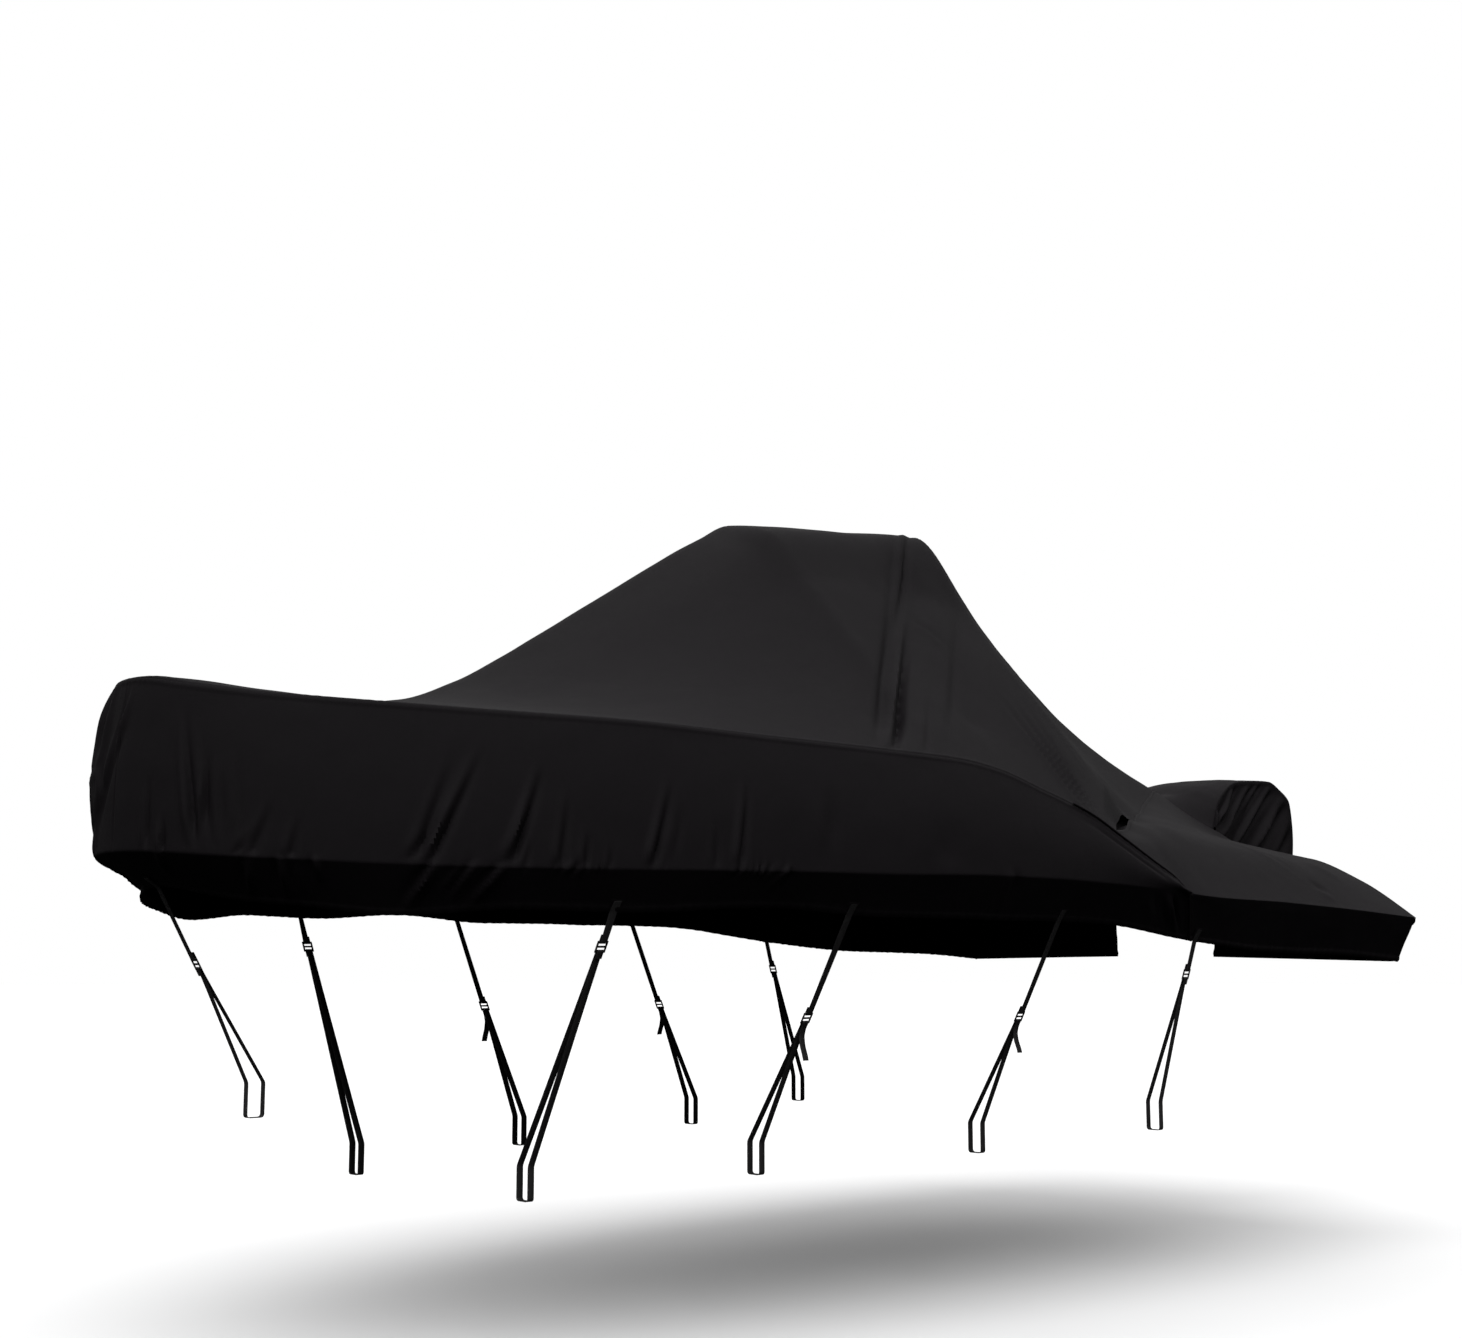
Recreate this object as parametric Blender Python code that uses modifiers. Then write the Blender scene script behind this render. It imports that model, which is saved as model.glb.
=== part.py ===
"""Fitted boat cover, a hollow tent of cloth in the shape in which it stands when it is on.

A tent rises from the ridge of two side panels, which fall outward to a fold and end in a short
skirt. Behind it a deck of cloth runs to the stern, with a hood over the motor. +X runs aft, +Y
to starboard and +Z up. The origin is on the underside of the cloth under its highest part,
where it is held up. Tables give stations in metres aft of the bow and heights above the level
at which the cloth folds over at the sides.
"""
import math

import bmesh
import bpy
import numpy as np
from mathutils import Matrix, Vector

COLLECTION = "boat_cover"

# ---- driving dimensions, metres ----
CLOTH = 0.002            # thickness of the coated polyester
SEAM = 0.0004            # a panel stops this far short of the seam that it shares
GAP = 0.0005             # air between two pieces that touch
LENGTH = 5.20            # bow to stern, along the fold
BOW_LENGTH = 3.00        # the plan is an ellipse as far aft as this, then straight
BOW_CROWDING = 1.55      # stations crowd toward the bow by this power
STATION_COUNT = 56
LEAST_STEP = 0.02        # between two stations
SUPPORT_STATION = 2.95   # where the cover is held up
SLIT_STATION = 3.21      # the tent's foot leaves the side panel here
SEAM_STATION = 3.575     # the side panel ends here
AFT_START = SEAM_STATION + 2 * SEAM
TIP_DOWN = 1.03          # the side panel's upper tip ends just below the fold
WALL_BOW = 0.018         # how far the side panel swells outward
WALL_DROP, SKIRT_DROP = 0.45, 0.16   # length of its cloth above and below the fold, roughly
BOW_FLARE = 0.6          # share of forward in the swelling at the bow
TAUT_EDGE = 6            # the top cloth is taut along the outer sixth of its half-width
TAUT_HEAD = 5            # and the side panel along its upper fifth
TAUT_BOW = 0.04          # and this far aft of the bow
TOP_ROWS = 11            # from an edge up to the spine
WALL_ROWS = 5
SKIRT_ROWS = 3

SPINE_START = 0.30       # the spine of the tent starts here
SPINE_END = 5.12         # and ends at the front of the motor's hood
STERN_ROUNDING = (0.010, 0.006)   # of the deck's corner, along X and Y
STERN_CORNER = 0.15      # share of the stern's edge that the rounding takes
STERN_HEM_IN = 0.030     # the hem at the stern corner lies this far forward of the deck's edge
STERN_HEM_RISE = 0.020   # and this much higher amidships

HOOD_HALF = 0.29         # half the width of the deck's cut-out for the hood
HOOD_SHOULDER = 0.05     # how far its front is rounded
HOOD_FRONT = 0.6         # share of the cut-out's edge that the rounded front takes
HOOD_BLEND = 0.2         # share of the cap's length in which it rises from the deck
HOOD_COLUMNS = 28
HOOD_ACROSS = 10
HOOD_DOWN = 6
HOOD_HEM = 0.10
PLEATS = 7
PLEAT_DEPTH = 0.020

WELT_RADIUS = 0.0045     # piping of the seam behind the side panel
WELT_START = 3.00
WELT_LEAN = 0.97         # share of the half-width at which the deck's slope is taken
WELT_BELOW = 0.2         # and how far down the wall's
NEIGHBOUR = 0.01         # distance to a neighbouring station
WELT_DOWNS = (1.25, 1.50, 1.75, 1.97)
WEB_WIDTH = 0.025        # 25 mm webbing
WEB = 0.0018
PATCH_WIDTH = 0.042      # cloth patch that a strap is sewn to
PATCH_ROOM = 0.6 * PATCH_WIDTH
PATCH_TOP, PATCH_FOOT = 1.70, 1.985

BUCKLE_WIDTH, BUCKLE_LENGTH, BUCKLE_THICKNESS = 0.040, 0.040, 0.004
BUCKLE_BAR, BUCKLE_SIDE = 0.006, 0.006
BUCKLE_CORNER, SLOT_CORNER = 0.005, 0.001
BAR_TURN = 0.0040        # radius of the webbing's middle round a bar
SHORT_END = 0.022        # webbing beyond a bar
LOOP_WIDTH, LOOP_HEIGHT = 0.055, 0.105   # what the straps were looped round
LOOP_TURN = 0.010


def monotone(xs, ys):
    """A smooth curve through the points that never overshoots them."""
    xs, ys = np.array(xs, float), np.array(ys, float)
    step = np.diff(xs)
    slope = np.diff(ys) / step
    tangent = np.zeros(len(xs))
    tangent[0], tangent[-1] = slope[0], slope[-1]
    same_way = slope[:-1] * slope[1:] > 0
    left, right = 2 * step[1:] + step[:-1], step[1:] + 2 * step[:-1]
    mean = (left + right) / (left / np.where(same_way, slope[:-1], 1.0)
                             + right / np.where(same_way, slope[1:], 1.0))
    tangent[1:-1] = np.where(same_way, mean, 0.0)

    def curve(x):
        x = np.clip(np.asarray(x, float), xs[0], xs[-1])
        k = np.clip(np.searchsorted(xs, x) - 1, 0, len(step) - 1)
        t = (x - xs[k]) / step[k]
        rise = (t * t * (3 - 2 * t)) * (ys[k + 1] - ys[k])
        bend = step[k] * t * (1 - t) * ((1 - t) * tangent[k] - t * tangent[k + 1])
        return ys[k] + rise + bend
    return curve


def table(header, rows):
    """The columns of a table, by name, each a smooth curve over the first column."""
    data = np.array(rows, float).T
    return {name: monotone(data[0], data[k])
            for k, name in enumerate(header.split()) if k}


# Half-widths are those of the straight part; the bow's ellipse scales them. hem_aft is how far
# the skirt's seams slant aft on their way down.
EDGES = table(
    "station ridge_half ridge_z fold_half fold_z hem_half hem_z  hem_aft", [
        (0.00,  1.17,      0.566,  1.27,     0.046, 1.170,  -0.052, 0.000),
        (0.05,  1.17,      0.541,  1.27,     0.040, 1.170,  -0.078, 0.000),
        (0.12,  1.17,      0.521,  1.27,     0.030, 1.170,  -0.097, 0.000),
        (0.25,  1.17,      0.498,  1.27,     0.019, 1.170,  -0.114, 0.000),
        (0.50,  1.17,      0.477,  1.27,     0.005, 1.170,  -0.141, 0.000),
        (0.82,  1.17,      0.461,  1.27,    -0.003, 1.170,  -0.122, 0.000),
        (1.20,  1.17,      0.450,  1.27,    -0.004, 1.170,  -0.128, 0.000),
        (1.65,  1.17,      0.425,  1.27,    -0.001, 1.170,  -0.110, 0.000),
        (2.10,  1.17,      0.407,  1.27,    -0.002, 1.170,  -0.136, 0.000),
        (2.47,  1.17,      0.392,  1.27,     0.003, 1.170,  -0.138, 0.000),
        (2.65,  1.175,     0.366,  1.27,     0.001, 1.170,  -0.142, 0.000),
        (2.85,  1.187,     0.308,  1.27,    -0.002, 1.170,  -0.142, 0.002),
        (3.09,  1.208,     0.231,  1.27,    -0.010, 1.170,  -0.146, 0.020),
        (3.24,  1.227,     0.154,  1.27,    -0.016, 1.170,  -0.158, 0.050),
        (3.40,  1.246,     0.070,  1.27,    -0.024, 1.170,  -0.182, 0.090),
        (3.50,  1.258,     0.018,  1.27,    -0.030, 1.170,  -0.198, 0.115),
        (SEAM_STATION,
                1.27,     -0.037,  1.27,    -0.037, 1.170,  -0.208, 0.130),
        (4.25,  1.27,     -0.064,  1.27,    -0.064, 1.170,  -0.254, 0.055),
        (4.75,  1.27,     -0.088,  1.27,    -0.088, 1.170,  -0.266, 0.015),
        (5.20,  1.27,     -0.117,  1.27,    -0.117, 1.165,  -0.294, 0.000),
    ])
# At the bow the three edges lie this far aft of the bow's tip.
RAKE = {"ridge": 0.030, "fold": 0.000, "hem": 0.155}

# Heights of the top cloth at the spine and at fifths of the way out to the ridge.
TOP_COLUMNS = ("crown", "fifth_1", "fifth_2", "fifth_3", "fifth_4")
TOP = table(
    "station crown  fifth_1 fifth_2 fifth_3 fifth_4", [
        (0.00,  0.566,  0.566,  0.566,  0.566,  0.566),
        (0.30,  0.548,  0.545,  0.538,  0.526,  0.510),
        (0.60,  0.540,  0.535,  0.524,  0.508,  0.490),
        (0.96,  0.568,  0.555,  0.533,  0.510,  0.486),
        (1.20,  0.645,  0.605,  0.563,  0.525,  0.488),
        (1.28,  0.683,  0.635,  0.583,  0.538,  0.493),
        (1.80,  0.997,  0.900,  0.775,  0.655,  0.540),
        (2.34,  1.324,  1.235,  1.035,  0.815,  0.605),
        (2.44,  1.374,  1.320,  1.090,  0.850,  0.620),
        (2.95,  1.415,  1.372,  1.110,  0.840,  0.560),
        (3.24,  1.436,  1.400,  1.080,  0.780,  0.480),
        (3.34,  1.420,  1.325,  1.010,  0.720,  0.430),
        (3.44,  1.355,  1.190,  0.920,  0.650,  0.375),
        (3.60,  1.255,  1.030,  0.775,  0.520,  0.290),
        (3.80,  1.165,  0.910,  0.625,  0.395,  0.205),
        (4.05,  1.005,  0.720,  0.475,  0.290,  0.170),
        (4.40,  0.775,  0.530,  0.340,  0.225,  0.150),
        (4.80,  0.590,  0.400,  0.255,  0.185,  0.100),
        (5.20,  0.452,  0.310,  0.180,  0.152,  0.022),
    ])

# Where a line of pull in the tent leaves the ridge, and where it meets the spine.
PULL = table(
    "ridge   spine", [
        (0.00,  SPINE_START),
        (0.60,  1.10),
        (1.50,  2.38),
        (2.17,  3.24),
        (2.60,  3.90),
        (SLIT_STATION, SPINE_END),
    ])

# Troughs in the side panel: down 0 is the ridge, 1 the fold and 2 the hem.
SIDE_TROUGHS = [
    # station, down, station, down, depth, half-width
    (0.075,   0.20,  0.10,   1.80,  0.012, 0.030),
    (0.150,   0.50,  0.17,   1.10,  0.008, 0.030),
    (0.270,   0.72,  0.22,   1.90,  0.014, 0.040),
    (0.370,   0.78,  0.36,   1.90,  0.014, 0.040),
    (0.700,   0.22,  0.56,   1.90,  0.024, 0.055),
    (0.820,   0.35,  0.69,   1.80,  0.014, 0.045),
    (0.940,   0.42,  0.77,   1.90,  0.022, 0.055),
    (1.060,   0.60,  1.02,   1.30,  0.012, 0.045),
    (1.290,   0.45,  1.23,   1.30,  0.012, 0.055),
    (1.550,   0.50,  1.50,   1.40,  0.011, 0.055),
    (3.400,   1.15,  3.50,   1.90,  0.012, 0.050),
]

# Troughs in the top cloth, in plan.
TOP_TROUGHS = [
    # station, half, station, half, depth, half-width
    (3.00,    0.42,  2.28,   1.02,  0.030, 0.080),   # hangs from the tent's rear corner
    (3.20,    0.50,  2.75,   0.95,  0.015, 0.070),
    (3.90,    0.74,  3.30,   1.12,  0.034, 0.130),   # the slit at the tent's foot
]

# The hood's cap: its middle line, then the seam to the gathered side.
HOOD = table(
    "along   x      z      seam_x seam_half seam_z", [
        (0.00,  5.123, 0.470, 5.170, 0.2866,   0.325),
        (0.12,  5.200, 0.478, 5.205, 0.280,    0.385),
        (0.26,  5.310, 0.524, 5.275, 0.272,    0.460),
        (0.40,  5.450, 0.554, 5.380, 0.262,    0.520),
        (0.55,  5.570, 0.556, 5.545, 0.252,    0.538),
        (0.68,  5.700, 0.552, 5.700, 0.248,    0.545),
        (0.76,  5.790, 0.492, 5.785, 0.250,    0.482),
        (0.82,  5.865, 0.435, 5.855, 0.254,    0.425),
        (0.90,  5.880, 0.300, 5.872, 0.256,    0.295),
        (1.00,  5.870, HOOD_HEM, 5.862, 0.250, HOOD_HEM),
    ])
# The lower edge of the gathered side: on the deck, then hanging behind the stern.
HOOD_SIDE_HEM = table(
    "along   x      z", [
        (0.00,  5.192, 0.305),
        (0.26,  5.205, 0.285),
        (0.40,  5.240, 0.130),
        (0.68,  5.400, 0.115),
        (0.84,  5.660, 0.105),
        (1.00,  5.862, HOOD_HEM),
    ])

STRAPS = [
    # name, x aft of the bow, loop's outer face, its foot, buckle down the strap, free tail
    ("1",   1.163,            0.520,             -1.010,   0.118,                 0.0),
    ("2",   1.977,            0.690,             -0.975,   0.385,                 0.10),
    ("3",   2.940,            0.810,             -0.960,   0.380,                 0.09),
    ("4",   3.738,            1.000,             -0.915,   0.130,                 0.0),
]
BOW_STRAP = ("bow",          -0.465,             -0.750,   0.265,                 0.0)
# The fall of a free tail: share of its length, and how far it stands out in shares of it.
TAIL_FALL = [(0.30, 0.06), (0.60, 0.25), (0.85, 0.50), (1.00, 0.62)]


# ---- the surface that every panel lies on, as station, half-width and height ----
def plan(station):
    """The bow's ellipse: 0 at its tip, 1 along the straight sides."""
    ahead = np.clip(1 - station / BOW_LENGTH, 0, 1)
    return math.sqrt(1 - ahead ** 2)


def edge(level, station):
    """A point of the ridge, fold or hem."""
    aft = RAKE[level] * np.clip(1 - station / BOW_LENGTH, 0, 1) ** 3
    if level == "hem":
        aft += EDGES["hem_aft"](station)
    half = plan(station) * EDGES[level + "_half"](station)
    return np.array([station + aft, half, EDGES[level + "_z"](station)])


def nearness(point, start, end, half_width):
    """1 on the line from start to end, fading out sideways over the half-width."""
    start, along = np.array(start), np.subtract(end, start)
    t = np.clip(np.dot(point - start, along) / np.dot(along, along), 0, 1)
    return math.exp(-(np.linalg.norm(point - start - t * along) / half_width) ** 2)


def top_point(station, half):
    """The top cloth over a point of the plan."""
    ridge = edge("ridge", station)
    out = min(half / max(ridge[1], 1e-6), 1.0)
    heights = [TOP[name](station) for name in TOP_COLUMNS] + [ridge[2]]
    z = float(monotone(np.linspace(0, 1, len(heights)), heights)(out))
    slack = min(1.0, TAUT_EDGE * (1 - out))
    here = np.array([station, half])
    for s0, h0, s1, h1, depth, width in TOP_TROUGHS:
        z -= slack * depth * nearness(here, (s0, h0), (s1, h1), width)
    return np.array([ridge[0], half, z])


def drop(down):
    """Length of cloth from the ridge to a point of the side panel, roughly."""
    return WALL_DROP * min(down, 1) + SKIRT_DROP * max(down - 1, 0)


def side_point(station, down):
    """A point of the side panel: down 0 is the ridge, 1 the gunwale and 2 the hem."""
    ridge, fold, hem = (edge(level, station) for level in ("ridge", "fold", "hem"))
    ahead = np.clip(1 - station / BOW_LENGTH, 0, 1)
    outward = np.array([-BOW_FLARE * ahead, plan(station), 0])
    if down <= 1:
        point = ridge + (fold - ridge) * down
        point = point + outward * WALL_BOW * math.sin(math.pi * down) * (fold[1] > 0)
    else:
        point = fold + (hem - fold) * (down - 1)
    here = np.array([station, drop(down)])
    depth = sum(deep * nearness(here, (s0, drop(d0)), (s1, drop(d1)), width)
                for s0, d0, s1, d1, deep, width in SIDE_TROUGHS)
    taut = min(1.0, TAUT_HEAD * down) * min(1.0, station / TAUT_BOW)
    return point - outward * depth * taut


def station_over(x, down):
    """The station whose point of the skirt lies at x."""
    station = x
    for _ in range(12):
        station = x - (down - 1) * (edge("hem", station)[0] - station)
    return station


def placed(point, side):
    """From station, half-width and height to the part's own frame. Port is -Y."""
    mirror = -1 if side == "port" else 1
    x, half, z = point
    return np.array([x - SUPPORT_STATION, mirror * half, z - TOP["crown"](SUPPORT_STATION)])


def stations(first, last):
    """Stations from first to last, crowded toward the bow, with a pair at each patch."""
    pairs = [station_over(s[1], PATCH_FOOT) + d for s in STRAPS
             for d in (-PATCH_ROOM, PATCH_ROOM)]
    fixed = sorted({first, last, *(k for k in (*pairs, SLIT_STATION, SEAM_STATION)
                                   if first + LEAST_STEP < k < last - LEAST_STEP)})
    even = LENGTH * np.linspace(0, 1, STATION_COUNT) ** BOW_CROWDING
    free = [float(s) for s in even
            if first < s < last and all(abs(s - k) > PATCH_ROOM for k in fixed)]
    return sorted(fixed + free)


# ---- pieces ----
def material(name, colour, roughness):
    made = bpy.data.materials.get(name) or bpy.data.materials.new(name)
    made.use_nodes = True
    shader = made.node_tree.nodes["Principled BSDF"]
    shader.inputs["Base Color"].default_value = (*colour, 1)
    shader.inputs["Roughness"].default_value = roughness
    shader.inputs["Metallic"].default_value = 0
    return made


def cloth():
    return material("black_polyester", (0.018, 0.016, 0.018), 0.75)


def webbing():
    return material("black_webbing", (0.010, 0.008, 0.009), 0.70)


def plastic():
    return material("black_plastic", (0.012, 0.011, 0.011), 0.45)


def add_piece(name, data, finish):
    data.materials.append(finish)
    piece = bpy.data.objects.new(name, data)
    bpy.data.collections[COLLECTION].objects.link(piece)
    return piece


def pulled_back(grid, *borders):
    """The grid with the named borders drawn in from their seams."""
    grid = np.array(grid, float)
    for border in borders:
        line, inner = {"first": (grid[0], grid[1]), "last": (grid[-1], grid[-2]),
                       "left": (grid[:, 0], grid[:, 1]),
                       "right": (grid[:, -1], grid[:, -2])}[border]
        inward = inner - line
        length = np.maximum(np.linalg.norm(inward, axis=-1, keepdims=True), 1e-9)
        line += inward / length * np.minimum(SEAM, length / 3)
    return grid


def add_sheet(name, grids, inside):
    """Cloth over grids of points, thickened away from a point inside the cover."""
    bm = bmesh.new()
    for grid in grids:
        rows, columns = grid.shape[:2]
        verts = [[bm.verts.new(grid[i, j]) for j in range(columns)] for i in range(rows)]
        for i in range(rows - 1):
            for j in range(columns - 1):
                bm.faces.new((verts[i][j], verts[i + 1][j],
                              verts[i + 1][j + 1], verts[i][j + 1]))
    bmesh.ops.remove_doubles(bm, verts=bm.verts, dist=0.0001)
    bmesh.ops.recalc_face_normals(bm, faces=bm.faces)
    facing = sum((f.calc_center_median() - Vector(inside)).dot(f.normal) * f.calc_area()
                 for f in bm.faces)
    if facing < 0:
        bmesh.ops.reverse_faces(bm, faces=bm.faces)
    mesh = bpy.data.meshes.new(name)
    bm.to_mesh(mesh)
    bm.free()
    mesh.shade_smooth()
    piece = add_piece(name, mesh, cloth())
    thicken = piece.modifiers.new("thickness", "SOLIDIFY")
    thicken.thickness = CLOTH
    thicken.offset = 1


def add_band(name, middle, widths, normals, width, thickness, finish):
    """A strip with a rectangular section swept along its middle line."""
    bm = bmesh.new()
    rings = []
    for point, across, normal in zip(middle, widths, normals):
        u, n = across * width / 2, normal * thickness / 2
        rings.append([bm.verts.new(point + a * u + b * n)
                      for a, b in ((1, 1), (-1, 1), (-1, -1), (1, -1))])
    for ring, following in zip(rings, rings[1:]):
        for k in range(4):
            bm.faces.new((ring[k], ring[k - 1], following[k - 1], following[k]))
    bm.faces.new(rings[0])
    bm.faces.new(rings[-1][::-1])
    bmesh.ops.recalc_face_normals(bm, faces=bm.faces)
    mesh = bpy.data.meshes.new(name)
    bm.to_mesh(mesh)
    bm.free()
    return add_piece(name, mesh, finish)


def tent_grid(side):
    """Half of the tent: a line of pull from each station of the ridge to the spine."""
    grid = []
    for station in stations(0, SLIT_STATION):
        half, spine = edge("ridge", station)[1], PULL["spine"](station)
        grid.append([placed(top_point(station + (spine - station) * v, half * (1 - v)), side)
                     for v in np.linspace(0, 1, TOP_ROWS + 1)])
    return pulled_back(grid, "last", "left")


def side_grid(side):
    downs = [*np.linspace(0, 1, WALL_ROWS + 1), *np.linspace(1, 2, SKIRT_ROWS + 1)[1:]]
    grid = [[placed(side_point(station, down), side) for down in downs]
            for station in stations(0, SEAM_STATION)[:-1]]
    grid.append([placed(side_point(SEAM_STATION, max(down, TIP_DOWN)), side) for down in downs])
    return pulled_back(grid, "first", "left")


def hood_foot(k):
    """The deck's cut-out round the hood, in plan, from its front (0) to the transom (1)."""
    turn = min(k / HOOD_FRONT, 1) * math.pi / 2
    side_run = LENGTH - SPINE_END - HOOD_SHOULDER
    station = SPINE_END + HOOD_SHOULDER * (1 - math.cos(turn))
    station += side_run * max(0, k - HOOD_FRONT) / (1 - HOOD_FRONT)
    return np.array([station, HOOD_HALF * math.sin(turn)])


def deck_plan(k, v, station):
    """Plan of the aft deck, blended from its four borders: k runs aft, v to the hood."""
    ridge_half = edge("ridge", SLIT_STATION)[1]
    rounding = np.array(STERN_ROUNDING)
    stern_half = edge("ridge", LENGTH)[1] - rounding[1]

    def tent_foot(v):
        return np.array([SLIT_STATION + (SPINE_END - SLIT_STATION) * v, ridge_half * (1 - v)])

    def transom(v):
        turned = rounding[0] * max(0, 1 - v / STERN_CORNER) ** 2
        return np.array([LENGTH - turned, stern_half + (HOOD_HALF - stern_half) * v])

    outer = edge("ridge", station)[:2] - rounding * k ** 8
    sides = (1 - k) * tent_foot(v) + k * transom(v) + (1 - v) * outer + v * hood_foot(k)
    corners = ((1 - v) * ((1 - k) * tent_foot(0) + k * transom(0))
               + v * ((1 - k) * tent_foot(1) + k * transom(1)))
    return sides - corners


def aft_grids(side):
    """The deck behind the tent, and the skirt that hangs from its edge and the transom."""
    rows = [s for s in stations(SLIT_STATION, LENGTH) if abs(s - AFT_START) > LEAST_STEP]
    rows = sorted(rows + [AFT_START])
    deck = []
    for station in rows:
        k = (station - SLIT_STATION) / (LENGTH - SLIT_STATION)
        deck.append([placed(top_point(*deck_plan(k, v, station)), side)
                     for v in np.linspace(0, 1, TOP_ROWS + 1)])
    deck = pulled_back(deck, "first")
    fore = rows.index(AFT_START)
    deck[:fore] = pulled_back(deck, "left")[:fore]

    tops = [*deck[fore:, 0], *deck[-1, 1:]]
    hems = [placed(edge("hem", station), side) for station in rows[fore:]]
    hems[-1] = hems[-1] - (STERN_HEM_IN, 0, 0)
    stern = hems[-1]
    for top in deck[-1, 1:]:
        share = top[1] / deck[-1, 0][1]
        hems.append(stern * (1, share, 1) + (0, 0, STERN_HEM_RISE * (1 - share)))
    hems[-1][1] = tops[-1][1]
    skirt = [[top + (hem - top) * t for t in np.linspace(0, 1, SKIRT_ROWS + 1)]
             for top, hem in zip(tops, hems)]
    return deck, pulled_back(skirt, "last")


def cap_point(along, across):
    """The hood's cap: across runs from -1 to 1, seam to seam over the middle line."""
    turn = abs(across) * math.pi / 2
    middle = np.array([HOOD["x"](along), HOOD["z"](along)])
    seam = np.array([HOOD["seam_x"](along), HOOD["seam_z"](along)])
    x, z = middle + (seam - middle) * (1 - math.cos(turn))
    half = HOOD["seam_half"](along) * math.sin(turn)
    foot = top_point(x, half)[2]
    return np.array([x, half, z + (foot - z) * max(0, 1 - along / HOOD_BLEND) ** 2])


def hood_lines():
    return np.linspace(0, 1, HOOD_COLUMNS + 1)


def cap_grid():
    grid = [[placed(cap_point(along, across), "port" if across < 0 else "starboard")
             for across in np.linspace(-1, 1, HOOD_ACROSS + 1)] for along in hood_lines()]
    return pulled_back(grid, "left", "right")


def hood_side_grid(side):
    """The gathered side: its pleats run from the cap's seam forward and down to the hem."""
    grid = []
    for along in hood_lines()[1:]:
        seam = cap_point(along, 1)
        half = seam[1]
        hem = np.array([HOOD_SIDE_HEM["x"](along), half, HOOD_SIDE_HEM["z"](along)])
        pleat = PLEAT_DEPTH * math.sin(PLEATS * math.pi * along) ** 2
        line = []
        for down in np.linspace(0, 1, HOOD_DOWN + 1):
            point = seam + (hem - seam) * down
            point[1] -= pleat * math.sin(math.pi * down)
            line.append(placed(point, side))
        grid.append(line)
    return pulled_back(grid, "left")


def facing_out(u, v):
    """Unit normal of the plane of u and v, on the side away from the boat."""
    normal = np.cross(u, v)
    normal /= np.linalg.norm(normal)
    return normal if normal[1] > 0 else -normal


def welt_path(side):
    """Along the aft part of the ridge and down the skirt, just outside both panels."""
    stand_off = WELT_RADIUS + CLOTH + 2 * GAP
    path = []
    for station in stations(WELT_START, SEAM_STATION):
        point, half = side_point(station, 0), edge("ridge", station)[1]
        along = side_point(station + NEIGHBOUR, 0) - side_point(station - NEIGHBOUR, 0)
        lower = side_point(station, WELT_BELOW + (station == SEAM_STATION)) - point
        deck = facing_out(along, top_point(station, WELT_LEAN * half) - point)
        wall = facing_out(along, lower)
        middle = (deck + wall) / np.linalg.norm(deck + wall)
        path.append(point + middle * stand_off / np.dot(middle, wall))
    skirt = facing_out((1, 0, 0), side_point(SEAM_STATION, 2) - side_point(SEAM_STATION, 1))
    for down in WELT_DOWNS:
        path.append(side_point(SEAM_STATION, down) + skirt * stand_off)
    return [placed(point, side) for point in path]


def add_welt(side):
    data = bpy.data.curves.new("seam_welt_" + side, "CURVE")
    data.dimensions = "3D"
    spline = data.splines.new("POLY")
    path = welt_path(side)
    spline.points.add(len(path) - 1)
    for knot, point in zip(spline.points, path):
        knot.co = (*point, 1)
    data.bevel_depth = WELT_RADIUS
    data.bevel_resolution = 1
    data.use_fill_caps = True
    add_piece("seam_welt_" + side, data, cloth())


# ---- straps ----
def bend(centre, radius, start, end, steps):
    """Points of an arc, angles in degrees."""
    return [centre + radius * np.array([math.cos(a), math.sin(a)])
            for a in np.radians(np.linspace(start, end, steps + 1))]


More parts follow.
